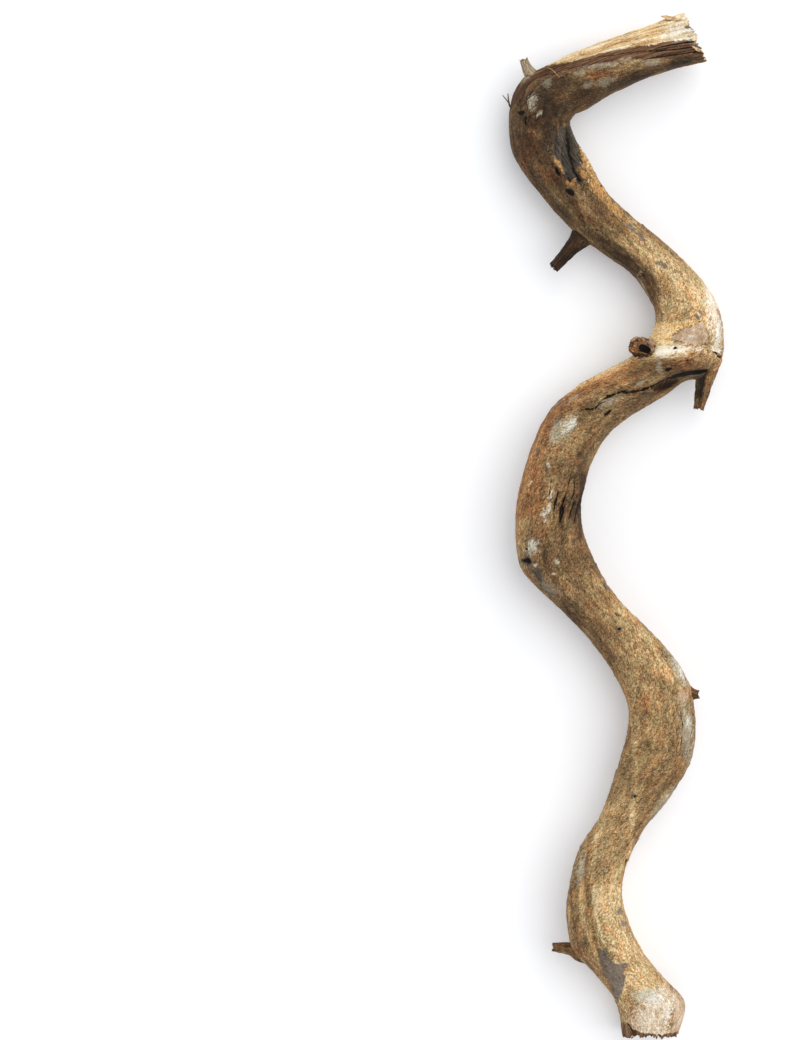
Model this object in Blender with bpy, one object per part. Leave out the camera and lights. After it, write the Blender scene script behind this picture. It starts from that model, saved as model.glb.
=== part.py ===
# A dried liana: one sinuous woody stem with a torn upper end, a swollen node, broken side twigs and a
# broken foot. It lies on a flat surface, on three low spots, with its length along Y.
#
# Everything is in millimetres until a mesh is made. X is across the piece, Y along it, Z up. The origin
# is on the surface, in the middle of the piece's outline.

import math

import bmesh
import bpy
import numpy as np

MM = 0.001

PART_NAME = "dried_liana"
STEM_NAME = "liana"
CUTTER_COLLECTION = "joined_twigs"

# Fineness
SECTION_COUNT = 170
SECTION_SIDES = 28
TWIG_BEVEL_RESOLUTION = 3

# The stem, from its torn end to its foot. Each row is one cross section: the plan place of its
# right-hand edge and of its left-hand edge as one walks along it, then the heights of its underside and
# of its top. A height below zero is cut off flat by the surface that the piece lies on.
SECTIONS = (
    # upper limb
    (51, 381, 66, 347, 12, 50),
    (18, 371, 32, 338, 11, 51),
    (-12, 361, 3, 326, 9, 50),
    (-42, 349, -21, 312, 5, 48),
    (-57, 342, -29, 309, 2, 47),
    # first bend, which rests on the surface
    (-69, 335, -32, 306, -1, 46),
    (-76, 325, -33, 304, -3, 45),
    (-79, 313, -33, 301, -4, 44),
    (-80, 302, -32, 298, -4, 44),
    (-79, 290, -31, 294, -3, 44),
    (-76, 278, -29, 288, -1, 44),
    (-70, 267, -26, 281, 2, 45),
    # descending stem
    (-58, 251, -20, 270, 4, 45),
    (-46, 236, -13, 258, 5, 44),
    (-33, 223, -4, 246, 6, 42),
    (-12, 206, 14, 230, 6, 40),
    (8, 193, 35, 214, 4, 38),
    (17, 184, 47, 203, 3, 39),
    (24, 173, 60, 189, 1, 42),
    # node, which rests on the surface
    (29, 163, 70, 175, -1, 45),
    (30, 154, 77, 160, -2, 48),
    (27, 145, 80, 143, -2, 51),
    (23, 139, 80, 130, -2, 53),
    (19, 133, 76, 117, -1, 52),
    (13, 128, 66, 111, 0, 48),
    (7, 124, 52, 109, 1, 47),
    # lower limb
    (-2, 119, 39, 100, 3, 47),
    (-24, 107, 11, 82, 6, 50),
    (-37, 97, -2, 72, 8, 53),
    (-48, 88, -11, 62, 10, 55),
    # middle bend
    (-56, 76, -17, 52, 11, 57),
    (-62, 62, -21, 43, 12, 58),
    (-68, 46, -23, 33, 13, 60),
    (-75, 15, -26, 15, 13, 61),
    (-75, -10, -26, 0, 12, 60),
    (-71, -33, -23, -13, 11, 58),
    (-63, -43, -20, -20, 10, 56),
    # diagonal
    (-42, -61, -10, -39, 8, 50),
    (-21, -82, 5, -60, 7, 45),
    (-6, -103, 26, -80, 7, 44),
    # right bulge
    (0, -114, 36, -91, 6, 46),
    (9, -134, 53, -115, 5, 50),
    (10, -154, 59, -144, 5, 52),
    (5, -173, 56, -174, 6, 54),
    (-2, -193, 41, -201, 9, 52),
    # lower bend
    (-13, -220, 20, -229, 12, 51),
    (-28, -243, 9, -253, 14, 54),
    (-35, -269, 5, -276, 13, 56),
    (-37, -295, 9, -296, 10, 57),
    (-31, -319, 19, -319, 5, 55),
    # foot, which rests on the surface
    (-13, -340, 35, -340, 1, 50),
    (1, -360, 53, -361, -2, 46),
    (6, -382, 49, -382, -1, 42),
)

# Long swellings of every section: how many stand round it, their height as a share of the radius, and
# how many times they turn round the stem on the way.
LOBES = ((3, 0.035, 1.2), (5, 0.022, -1.7))

# Forms of the upper side: depth (below zero for a ridge), half width, and the path in plan
UPPER_FORMS = {
    "recessed fibres of the upper limb": (
        3.5,
        5,
        ((64, 355), (25, 352), (-12, 349), (-42, 342), (-61, 331)),
    ),
    "hollow inside the first bend": (5, 7, ((-38, 298), (-40, 281), (-37, 266), (-31, 255))),
    "crease over the ledge": (3.5, 4, ((27, 131), (42, 131), (68, 133), (80, 128))),
    "ledge": (-3.5, 5, ((24, 121), (40, 121), (58, 121), (76, 123))),
    "crack of the lower limb": (
        5,
        4.5,
        ((62, 112), (48, 108), (29, 103), (3, 99), (-13, 94), (-24, 84)),
    ),
    "fissures of the middle bend": (3.5, 5, ((-40, 33), (-44, 14), (-46, 0))),
    "ridge of the right bulge": (-2.5, 5, ((15, -150), (13, -169), (12, -199), (9, -229), (8, -248))),
    "groove of the lower bend": (
        4.5,
        4,
        ((-19, -236), (-21, -266), (-19, -285), (-14, -311), (-6, -338), (3, -362)),
    ),
}

# Forms of the underside, in the same way
LOWER_FORMS = {
    "seam of the first bend": (3, 5, ((-2, 345), (-40, 330), (-62, 300), (-52, 268), (-20, 236))),
    "furrow of the middle bend": (
        4,
        5,
        ((10, 112), (-28, 88), (-48, 52), (-56, 10), (-50, -24), (-20, -58)),
    ),
    "furrow of the right bulge": (3.5, 5, ((12, -100), (34, -136), (36, -168), (18, -204), (0, -230))),
    "seam of the lower bend": (3.5, 4.5, ((-10, -246), (-14, -282), (-6, -314), (14, -338))),
}

# The two broken ends: the longest splinter, the depth of the hollow and the number of splinters
TORN_END = (6, 5, 9)
BROKEN_FOOT = (3, 3, 7)

# Broken side twigs: X, Y, Z and radius at points from the root, which is inside the stem, to the tip
TWIGS = {
    "knob_of_the_first_bend": (
        (-56, 328, 25, 7),
        (-63, 337, 28, 5.2),
        (-67, 343, 30, 3.6),
        (-69, 348, 31, 2.9),
    ),
    "fork_of_the_descending_stem": (
        (-18, 226, 22, 10),
        (-26, 216, 23, 7.4),
        (-33, 208, 24, 5.2),
        (-40, 200, 25, 4.4),
        (-46, 194, 26, 4),
    ),
    "curled_knot": (
        (33, 134, 36, 5),
        (26, 136, 40, 4),
        (19, 137, 41, 3.8),
        (13, 134, 41, 3.6),
        (12, 129, 40, 3.6),
        (17, 124, 38, 3.6),
    ),
    "twig_under_the_node": (
        (69, 126, 25, 10),
        (68, 115, 25, 8.2),
        (66.3, 105, 25, 6.2),
        (64.6, 97, 25, 5),
        (62.8, 88, 24, 3.8),
    ),
    "twig_of_the_right_bulge": (
        (42, -125, 31, 10),
        (50, -126, 32, 7.6),
        (54.5, -126.5, 32, 4.8),
        (58, -126.8, 32, 3.5),
        (61, -126.8, 32, 2.8),
    ),
    "twig_of_the_lower_bend": (
        (-18, -320, 26, 11),
        (-27, -320, 25, 8),
        (-33, -319, 24, 5.2),
        (-39, -318, 24, 4),
        (-46, -317.5, 24, 3.2),
    ),
    "bark_flap": ((54, 374, 40, 4), (48, 380, 41, 2.8), (41, 383, 42, 2), (35, 385, 42, 1.2)),
}

SEED = 7


def clear_scene():
    """Removes every object that the file starts with."""
    for thing in list(bpy.data.objects):
        bpy.data.objects.remove(thing, do_unlink=True)


def smooth_sections(rows, count):
    """The rows joined by cubic curves, and read at sections that lie evenly along the stem."""
    rows = np.array(rows, dtype=float)
    steps = np.linalg.norm(np.diff((rows[:, 0:2] + rows[:, 2:4]) / 2, axis=0), axis=1)
    knots = np.concatenate(([0.0], np.cumsum(np.sqrt(steps))))
    slopes = np.gradient(rows, knots, axis=0)

    def read(places):
        first = np.clip(np.searchsorted(knots, places, side="right") - 1, 0, len(knots) - 2)
        width = knots[first + 1] - knots[first]
        t = ((places - knots[first]) / width)[:, None]
        width = width[:, None]
        return (
            (2 * t**3 - 3 * t**2 + 1) * rows[first]
            + (t**3 - 2 * t**2 + t) * width * slopes[first]
            + (3 * t**2 - 2 * t**3) * rows[first + 1]
            + (t**3 - t**2) * width * slopes[first + 1]
        )

    fine = np.linspace(0, knots[-1], 12 * count)
    path = read(fine)
    right_steps = np.linalg.norm(np.diff(path[:, 0:2], axis=0), axis=1)
    left_steps = np.linalg.norm(np.diff(path[:, 2:4], axis=0), axis=1)
    length = np.concatenate(([0.0], np.cumsum((right_steps + left_steps) / 2)))
    return read(np.interp(np.linspace(0, length[-1], count), length, fine))


def distance_to_path(points, path):
    """How far each plan point is from the nearest leg of a path."""
    path = np.array(path, dtype=float)
    nearest = np.full(points.shape[:-1], np.inf)
    for start, end in zip(path, path[1:]):
        leg = end - start
        along = np.clip((points - start) @ leg / (leg @ leg), 0, 1)
        nearest = np.minimum(nearest, np.linalg.norm(points - start - along[..., None] * leg, axis=-1))
    return nearest


def relief(points, facing, forms):
    """How deep the forms of one side are at each point; facing is 1 where that side looks straight out."""
    depth = np.zeros(points.shape[:-1])
    shown = np.clip(1.6 * facing, 0, 1)
    for form_depth, half_width, path in forms.values():
        depth += form_depth * np.exp(-((distance_to_path(points, path) / half_width) ** 2))
    return depth * shown


def stem_surface():
    """The stem's side as rings of points. A ring is an ellipse between its two edges, its underside and
    its top, swollen by the lobes and then lowered or raised by the forms of its two sides."""
    sections = smooth_sections(SECTIONS, SECTION_COUNT)
    right, left = sections[:, 0:2], sections[:, 2:4]
    under, top = sections[:, 4], sections[:, 5]
    angle = np.linspace(0, 2 * math.pi, SECTION_SIDES, endpoint=False)
    way = np.linspace(0, 1, SECTION_COUNT)[:, None]
    swell = np.ones((SECTION_COUNT, SECTION_SIDES))
    for number, height, turns in LOBES:
        swell += height * np.cos(number * angle + 2 * math.pi * turns * way)
    across = (np.cos(angle) * swell)[..., None] * ((right - left) / 2)[:, None]
    plan = ((right + left) / 2)[:, None] + across
    up = ((top + under) / 2)[:, None] + ((top - under) / 2)[:, None] * np.sin(angle) * swell
    up -= relief(plan, np.sin(angle), UPPER_FORMS)
    up += relief(plan, -np.sin(angle), LOWER_FORMS)
    return np.dstack((plan, np.maximum(up, 0)))


def broken_end(ring, outward, splinter, hollow, splinters, random):
    """Rings that close one end: the rim runs out in splinters, and the wood inside it lies deeper."""
    sides = len(ring)
    rim = np.arange(sides) / sides
    teeth = np.abs(np.interp(rim * splinters % 1, (0, 0.35, 1), (0, 1, 0))) * random.uniform(0.3, 1, sides)
    middle = ring.mean(axis=0)
    rows = [ring + outward * (splinter * teeth)[:, None]]
    for share, depth in ((0.72, 0.4), (0.4, 1)):
        rough = random.uniform(-0.25, 0.25, sides) * splinter
        rows.append(middle + (ring - middle) * share + outward * (rough - hollow * depth)[:, None])
    for row in rows:
        row[:, 2] = np.maximum(row[:, 2], 0)
    return rows, middle - outward * hollow


def add_stem(collection):
    """The stem's body: the rings of its side, then those of its two broken ends, joined by faces."""
    random = np.random.default_rng(SEED)
    side = stem_surface()
    start_way = side[0].mean(axis=0) - side[2].mean(axis=0)
    foot_way = side[-1].mean(axis=0) - side[-3].mean(axis=0)
    start_rows, start_middle = broken_end(side[0], start_way / np.linalg.norm(start_way), *TORN_END, random)
    foot_rows, foot_middle = broken_end(side[-1], foot_way / np.linalg.norm(foot_way), *BROKEN_FOOT, random)
    rings = np.array(start_rows[::-1] + list(side[1:-1]) + foot_rows)

    mesh_maker = bmesh.new()
    rows = [[mesh_maker.verts.new(point * MM) for point in ring] for ring in rings]
    for row, following in zip(rows, rows[1:]):
        for corner in range(SECTION_SIDES):
            beside = (corner + 1) % SECTION_SIDES
            mesh_maker.faces.new((row[corner], row[beside], following[beside], following[corner]))
    for row, middle in ((rows[0], start_middle), (rows[-1], foot_middle)):
        point = mesh_maker.verts.new(middle * MM)
        for corner in range(SECTION_SIDES):
            mesh_maker.faces.new((row[corner], row[(corner + 1) % SECTION_SIDES], point))
    bmesh.ops.recalc_face_normals(mesh_maker, faces=mesh_maker.faces)
    bmesh.ops.triangulate(mesh_maker, faces=mesh_maker.faces)

    mesh = bpy.data.meshes.new(STEM_NAME)
    mesh_maker.to_mesh(mesh)
    mesh_maker.free()
    stem = bpy.data.objects.new(STEM_NAME, mesh)
    collection.objects.link(stem)
    return stem


def add_twig(name, points, collection):
    """A broken twig: a tube along its points, with its radius at each, made a closed mesh."""
    curve = bpy.data.curves.new(name, "CURVE")
    curve.dimensions = "3D"
    curve.bevel_depth = MM
    curve.bevel_resolution = TWIG_BEVEL_RESOLUTION
    curve.use_fill_caps = True
    spline = curve.splines.new("POLY")
    spline.points.add(len(points) - 1)
    for place, (x, y, z, radius) in zip(spline.points, points):
        place.co = (x * MM, y * MM, z * MM, 1)
        place.radius = radius
    tube = bpy.data.objects.new(name + "_curve", curve)
    collection.objects.link(tube)

    mesh = bpy.data.meshes.new_from_object(tube.evaluated_get(bpy.context.evaluated_depsgraph_get()))
    bpy.data.objects.remove(tube, do_unlink=True)
    mesh_maker = bmesh.new()
    mesh_maker.from_mesh(mesh)
    bmesh.ops.remove_doubles(mesh_maker, verts=mesh_maker.verts, dist=0.01 * MM)
    bmesh.ops.recalc_face_normals(mesh_maker, faces=mesh_maker.faces)
    mesh_maker.to_mesh(mesh)
    mesh_maker.free()
    twig = bpy.data.objects.new(name, mesh)
    twig.hide_render = True
    twig.display_type = "WIRE"
    collection.objects.link(twig)
    return twig


def join_to_stem(stem, collection):
    """Makes the stem and all that is in the collection one body, and removes the collection's objects."""
    union = stem.modifiers.new("grown together", "BOOLEAN")
    union.operation = "UNION"
    union.operand_type = "COLLECTION"
    union.collection = collection
    union.solver = "EXACT"
    mesh = bpy.data.meshes.new_from_object(stem.evaluated_get(bpy.context.evaluated_depsgraph_get()))
    stem.modifiers.clear()
    mesh.name = STEM_NAME
    stem.data = mesh
    for thing in list(collection.objects):
        bpy.data.objects.remove(thing, do_unlink=True)
    bpy.data.collections.remove(collection)


def dry_bark():
    """Golden brown bark, dull and a little rough."""
    material = bpy.data.materials.new("dry_bark")
    material.use_nodes = True
    shader = material.node_tree.nodes["Principled BSDF"]
    shader.inputs["Base Color"].default_value = (0.36, 0.21, 0.09, 1)
    shader.inputs["Roughness"].default_value = 0.8
    shader.inputs["Metallic"].default_value = 0
    return material


def main():
    clear_scene()
    parts = bpy.data.collections.new(PART_NAME)
    twigs = bpy.data.collections.new(CUTTER_COLLECTION)
    for collection in (parts, twigs):
        bpy.context.scene.collection.children.link(collection)
    stem = add_stem(parts)
    for name, points in TWIGS.items():
        add_twig(name, points, twigs)
    join_to_stem(stem, twigs)
    stem.data.materials.clear()
    stem.data.materials.append(dry_bark())


main()
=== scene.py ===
import itertools
import math

import bpy
import numpy as np
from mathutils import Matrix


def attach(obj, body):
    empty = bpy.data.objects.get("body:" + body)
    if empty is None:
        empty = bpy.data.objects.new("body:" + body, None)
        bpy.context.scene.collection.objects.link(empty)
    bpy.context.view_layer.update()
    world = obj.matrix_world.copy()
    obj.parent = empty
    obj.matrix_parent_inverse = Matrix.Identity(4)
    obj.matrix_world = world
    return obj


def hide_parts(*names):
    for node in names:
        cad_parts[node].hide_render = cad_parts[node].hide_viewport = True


# A dried liana that lies on a pale floor: the looks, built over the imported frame.
# Shapes are worked out in millimetres, X across, Y along and Z up, and become metres in addPieces.

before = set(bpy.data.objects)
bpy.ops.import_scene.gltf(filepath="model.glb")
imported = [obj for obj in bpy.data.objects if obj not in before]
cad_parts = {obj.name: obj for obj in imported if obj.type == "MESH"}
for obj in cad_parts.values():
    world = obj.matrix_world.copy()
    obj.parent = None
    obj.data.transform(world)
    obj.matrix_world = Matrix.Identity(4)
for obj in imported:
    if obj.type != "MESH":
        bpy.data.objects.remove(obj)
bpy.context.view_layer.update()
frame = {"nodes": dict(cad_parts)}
print("frame loaded:", ", ".join(frame["nodes"]))

mm = 0.001  # in metres


# Numbers over a surface

# From 0 at low to 1 at high, by 3t^2 - 2t^3
def smoothStep(low, high, value):
    t = np.clip((value - low) / (high - low), 0, 1)
    return t * t * (3 - 2 * t)


# Noise from -1 to 1: random numbers on a cubic lattice, blended between the eight corners round
# each point by 3t^2 - 2t^3
def softNoise(points, seed, size=32):
    lattice = np.random.default_rng(seed).uniform(-1, 1, (size, size, size))
    cell = np.floor(points).astype(int)
    t = points - cell
    t = t * t * (3 - 2 * t)
    total = np.zeros(points.shape[:-1])
    for corner in itertools.product((0, 1), repeat=3):
        weight = np.prod(np.where(corner, t, 1 - t), axis=-1)
        total += weight * lattice[tuple(np.moveaxis((cell + corner) % size, -1, 0))]
    return total


# Layers of that noise, each at twice the fineness and half the height of the one before
def layeredNoise(points, seed, layers=3):
    heights = 0.5 ** np.arange(layers)
    total = sum(h * softNoise(points * 2**n, seed + n) for n, h in enumerate(heights))
    return total / heights.sum()


def unit(vectors):
    return vectors / np.maximum(np.linalg.norm(vectors, axis=-1, keepdims=True), 1e-9)


# How far each plan point is from the nearest leg of a path
def pathDistance(points, path):
    path = np.array(path, dtype=float)
    nearest = np.full(points.shape[:-1], np.inf)
    for start, end in zip(path, path[1:]):
        leg = end - start
        along = np.clip((points - start) @ leg / (leg @ leg), 0, 1)
        nearest = np.minimum(nearest, np.linalg.norm(points - start - along[..., None] * leg, axis=-1))
    return nearest


# Distance from a closed outline, above zero inside it: a point is inside where a ray from it
# crosses the outline an odd number of times
def outlineDepth(points, outline):
    outline = np.array(outline, dtype=float)
    distance = pathDistance(points, np.vstack((outline, outline[:1])))
    x, y = points[..., 0], points[..., 1]
    inside = np.zeros(x.shape, dtype=bool)
    for (x0, y0), (x1, y1) in zip(outline, np.roll(outline, -1, axis=0)):
        slope = (x1 - x0) / (y1 - y0 or 1e-9)
        inside ^= ((y0 > y) != (y1 > y)) & (x < x0 + slope * (y - y0))
    return np.where(inside, distance, -distance)


# A mark's strength: 1 in the middle of its ellipse, 0.5 on its edge and 0 at twice its size
def spotStrength(points, spots):
    strength = np.zeros(points.shape[:-1])
    for x, y, halfLength, halfWidth, turn in spots:
        ca, sa = math.cos(math.radians(turn)), math.sin(math.radians(turn))
        dx, dy = points[..., 0] - x, points[..., 1] - y
        reach = np.hypot((dx * ca + dy * sa) / halfLength, (dy * ca - dx * sa) / halfWidth)
        strength = np.maximum(strength, 1 - reach / 2)
    return strength


# Meshes

# Faces of closed bodies that are each a pile of rings with a middle point at both ends: four-sided
# between the rings, and a fan of triangles at each end
def ringFaces(bodies, rows, columns):
    row, column = np.meshgrid(np.arange(rows - 1), np.arange(columns), indexing="ij")
    beside = (column + 1) % columns
    quads = (row * columns + column, (row + 1) * columns + column, (row + 1) * columns + beside)
    quads = np.stack((*quads, row * columns + beside), axis=-1).reshape(-1, 4)
    corner = np.arange(columns)
    beside = (corner + 1) % columns
    start, end, last = rows * columns, rows * columns + 1, (rows - 1) * columns
    startFan = np.stack((np.full(columns, start), corner, beside), axis=-1)
    endFan = np.stack((last + corner, np.full(columns, end), last + beside), axis=-1)
    fans = np.vstack((startFan, endFan))
    first = np.arange(bodies)[:, None, None] * (rows * columns + 2)
    return (quads + first).reshape(-1, 4).tolist() + (fans + first).reshape(-1, 3).tolist()


# One object of closed bodies, from their rings (bodies, rows, columns), their two middle points and the
# numbers that its material reads. It rides on the root body and takes the bark's finish.
def addPieces(name, rings, starts, ends, looks, material, smooth=True):
    bodies, rows, columns = rings.shape[:3]

    def whole(value, start, end):
        flat = value.reshape(bodies, rows * columns, -1)
        return np.concatenate((flat, start.reshape(bodies, 1, -1), end.reshape(bodies, 1, -1)), axis=1)

    points = whole(rings, starts, ends).reshape(-1, 3)
    mesh = bpy.data.meshes.new(name)
    mesh.from_pydata((points * mm).tolist(), [], ringFaces(bodies, rows, columns))
    for look, value in looks.items():
        value = whole(value, value[:, 0].mean(axis=1), value[:, -1].mean(axis=1)).astype(np.float32)
        kind, field = ("FLOAT_VECTOR", "vector") if value.shape[-1] == 3 else ("FLOAT", "value")
        mesh.attributes.new(look, kind, "POINT").data.foreach_set(field, value.ravel())
    if smooth:
        mesh.shade_smooth()
    mesh.materials.append(material)
    mesh.validate()
    piece = bpy.data.objects.new(name, mesh)
    bpy.context.scene.collection.objects.link(piece)
    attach(piece, "root")
    print("made", name, len(mesh.polygons), "faces")
    return piece


# The same for one body
def addPiece(name, rings, start, end, looks, material):
    looks = {look: value[None] for look, value in looks.items()}
    return addPieces(name, rings[None], start[None], end[None], looks, material)


# Materials

# One output of a node. Sums, differences and products of these and of numbers add Math nodes.
class Wire:
    def __init__(self, board, socket):
        self.board, self.socket = board, socket

    def maths(self, operation, first, second):
        return self.board.addNode("ShaderNodeMath", {"operation": operation}, {0: first, 1: second})

    def __add__(self, other):
        return self.maths("ADD", self, other)

    def __radd__(self, other):
        return self.maths("ADD", other, self)

    def __sub__(self, other):
        return self.maths("SUBTRACT", self, other)

    def __rsub__(self, other):
        return self.maths("SUBTRACT", other, self)

    def __mul__(self, other):
        return self.maths("MULTIPLY", self, other)

    def __abs__(self):
        return self.maths("ABSOLUTE", self, 0)


# A material and its nodes
class Board:
    def __init__(self, name):
        self.material = bpy.data.materials.new(name)
        self.material.use_nodes = True
        self.tree = self.material.node_tree
        self.shader = self.tree.nodes["Principled BSDF"]

    def addNode(self, kind, settings=None, sockets=None, output=0):
        node = self.tree.nodes.new(kind)
        for key, value in (settings or {}).items():
            if key == "stops":
                self.setStops(node.color_ramp, value)
            else:
                setattr(node, key, value)
        for key, value in (sockets or {}).items():
            self.feed(node.inputs[key], value)
        return Wire(self, node.outputs[output])

    def setStops(self, ramp, stops):
        while len(ramp.elements) < len(stops):
            ramp.elements.new(0.5)
        for element, (place, colour) in zip(ramp.elements, stops):
            element.position = place
            element.color = (*colour, 1)

    def feed(self, socket, value):
        if isinstance(value, Wire):
            self.tree.links.new(value.socket, socket)
        else:
            socket.default_value = value

    # An attribute node's output 2 is a number and its output 1 a vector
    def number(self, name, output=2):
        return self.addNode("ShaderNodeAttribute", {"attribute_name": name}, output=output)

    # Noise along the grain: size is across it in mm, stretch how many times longer it is along it
    def noise(self, grain, size, stretch, detail, shift, roughness):
        scale = (1 / size, 1 / size, 1 / (size * stretch))
        sockets = {0: grain, 1: scale, 2: (shift, shift, shift)}
        placed = self.addNode("ShaderNodeVectorMath", {"operation": "MULTIPLY_ADD"}, sockets)
        sockets = {"Vector": placed, "Scale": 1, "Detail": detail, "Roughness": roughness}
        return self.addNode("ShaderNodeTexNoise", {}, sockets) - 0.5

    def between(self, low, high, value):
        sockets = {"Value": value, "From Min": low, "From Max": high}
        return self.addNode("ShaderNodeMapRange", {"interpolation_type": "SMOOTHSTEP"}, sockets)

    def ramp(self, value, stops):
        return self.addNode("ShaderNodeValToRGB", {"stops": stops}, {0: value})

    def mix(self, share, first, second, blend="MIX"):
        settings = {"data_type": "RGBA", "blend_type": blend}
        return self.addNode("ShaderNodeMix", settings, {0: share, 6: first, 7: second}, output=2)


bark = {
    # colours from the darkest cracks to the palest flakes
    "colours": (
        (0.0, (0.022, 0.013, 0.008)),
        (0.18, (0.068, 0.039, 0.019)),
        (0.36, (0.152, 0.090, 0.041)),
        (0.54, (0.302, 0.188, 0.084)),
        (0.70, (0.472, 0.318, 0.148)),
        (0.86, (0.675, 0.488, 0.250)),
        (1.0, (0.870, 0.715, 0.450)),
    ),
    # Marks, each over the ones before it: how soft its edge is, how far noise pushes the edge, how much
    # it covers, how much of each layer shows in it, and its colours
    "marks": {
        # weathered grey wood, and painted shade in hollows, in the twig's slit and under the ledge
        "grey": (
            0.22, 1.6, 0.85, {"grains": 0.8, "strands": 1.1, "plain": 0.13},
            ((0.0, (0.018, 0.015, 0.012)), (0.5, (0.080, 0.071, 0.055)), (1.0, (0.250, 0.205, 0.140))),
        ),
        # yellow inner bark
        "gold": (
            0.18, 2.0, 0.85, {"grains": 1.2, "ragged": 1.4},
            ((0.0, (0.120, 0.062, 0.024)), (0.45, (0.490, 0.252, 0.084)), (0.75, (0.850, 0.505, 0.190)),
             (1.0, (0.975, 0.790, 0.450))),
        ),
        # cream wood
        "cream": (
            0.26, 2.2, 0.85, {"grains": 0.85, "strands": 0.4, "blotch": 0.8},
            ((0.0, (0.270, 0.165, 0.088)), (0.5, (0.640, 0.465, 0.285)), (1.0, (0.975, 0.920, 0.800))),
        ),
        # smooth scars
        "scar": (
            0.09, 0.9, 0.88, {"grains": 0.9, "streak": 0.8, "blotch": 1.1},
            ((0.0, (0.180, 0.108, 0.068)), (0.5, (0.480, 0.325, 0.205)), (1.0, (0.820, 0.680, 0.510))),
        ),
        # dark fibres
        "fibre": (
            0.07, 0.6, 1, {"strands": 1.1, "grains": 0.4},
            ((0.0, (0.020, 0.010, 0.006)), (0.36, (0.090, 0.043, 0.021)), (0.62, (0.182, 0.090, 0.044)),
             (0.86, (0.290, 0.165, 0.086)), (1.0, (0.380, 0.250, 0.145))),
        ),
        # torn wood
        "bare": (
            0.06, 0.5, 1, {"strands": 0.6, "grains": 0.9, "blotch": 0.8},
            ((0.0, (0.130, 0.068, 0.030)), (0.22, (0.420, 0.232, 0.094)), (0.46, (0.720, 0.485, 0.230)),
             (0.70, (0.880, 0.700, 0.420)), (0.90, (0.955, 0.880, 0.690)), (1.0, (0.990, 0.965, 0.880))),
        ),
        # crusts of dust and lichen
        "crust": (
            0.24, 2.2, 0.75, {"grains": 1.1, "plain": 0.04},
            ((0.0, (0.100, 0.075, 0.048)), (0.5, (0.300, 0.250, 0.170)), (1.0, (0.620, 0.570, 0.430))),
        ),
        # chalky spots
        "chalk": (
            0.24, 2.6, 0.80, {"grains": 1.3, "strands": 0.3, "plain": 0.03},
            ((0.0, (0.230, 0.178, 0.115)), (0.4, (0.490, 0.435, 0.325)), (1.0, (0.920, 0.915, 0.850))),
        ),
        # peeled places
        "peel": (
            0.06, 0.9, 1, {"grains": 1.4, "streak": 0.5, "blotch": 0.6},
            ((0.0, (0.060, 0.045, 0.035)), (0.5, (0.175, 0.130, 0.096)), (1.0, (0.340, 0.262, 0.192))),
        ),
    },
    # Holes and cracks, painted near black as the shade inside them: from and to which strength they darken,
    # how ragged they are, and their colour
    "shadedHolesAndCracks": {"pit": (0.44, 0.58, 0.5), "crack": (0.48, 0.56, 0.15)},
    "dark": (0.011, 0.007, 0.005, 1),
    # Tints that the bark's own colours are multiplied by: from and to which sum of layers
    "tints": {
        "reddish": (-0.04, 0.16, {"hue": 1, "grit": 0.15}, (1.12, 0.93, 0.80, 1)),
        "olive": (-0.04, 0.16, {"fine": 0.2, "hue": -1}, (0.95, 1.0, 0.95, 1)),
        "rusty": (0.25, 0.95, {"rust": 1, "ragged": 1.2, "grit": 0.4}, (1.13, 0.88, 0.76, 1)),
    },
    # Layers of noise: the cloth they are read from, their size across it in mm, how many times longer
    # they are along it, their detail, shift and roughness
    "layers": {
        "fine": ("grain", 0.8, 1.5, 2, 3.1, 0.7),
        "grit": ("slant", 1.15, 1.5, 2, 17.3, 0.65),
        "speckle": ("grain", 2.0, 1.5, 3, 29.9, 0.65),
        "streak": ("grain", 2.8, 5, 3, 41.7, 0.55),
        "blotch": ("grain", 10, 1.6, 4, 53.3, 0.6),
        "hue": ("grain", 7.5, 1.5, 4, 63.9, 0.65),
        "ragged": ("slant", 2.4, 1.2, 5, 71.1, 0.75),
        "strand": ("grain", 0.9, 26, 2, 85.2, 0.6),
        "crackle": ("slant", 2.6, 1.6, 3, 97.4, 0.6),
        "cells": ("grain", 3.4, 2.4, 3, 111.7, 0.6),
    },
    # How much of each layer there is in the grains, strands, colour, roughness and height in mm
    "grains": {"fine": 1.15, "grit": 1.05, "speckle": 0.80},
    "strands": {"strand": 1.5, "streak": 0.5},
    "colour": {"streak": 0.34, "blotch": 0.62, "crackle": -0.17},
    "roughness": {"plain": 0.82, "speckle": 0.3, "peel": -0.1, "scar": -0.1, "crust": 0.08},
    "height": {"fine": 0.35, "grit": 0.5, "speckle": 0.6, "streak": 0.3, "crackle": -0.12},
    # How much of that height is left out on marks, and how much strand or raggedness they add
    "calm": {"peel": 0.7, "scar": 0.7, "bare": 0.4, "fibre": 0.4},
    "strandHeight": {"fibre": 0.45, "bare": 0.45, "cream": 0.225},
    "raggedHeight": {"crust": 0.5, "chalk": 0.5},
    "edge": {"ragged": 1, "fine": 0.3},  # what pushes the edges of marks
    "crackWidth": 0.03,  # of the crackle, in the noise that it is read from
    "cellWidth": 0.05,
    "grainLight": (0.25, 0.95),  # strength of the grains in the dark, and its rise with brightness
    "crestLight": 0.12,
    "netLight": 0.34,
    "shine": 0.2,
    "bump": 0.9,
}


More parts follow.
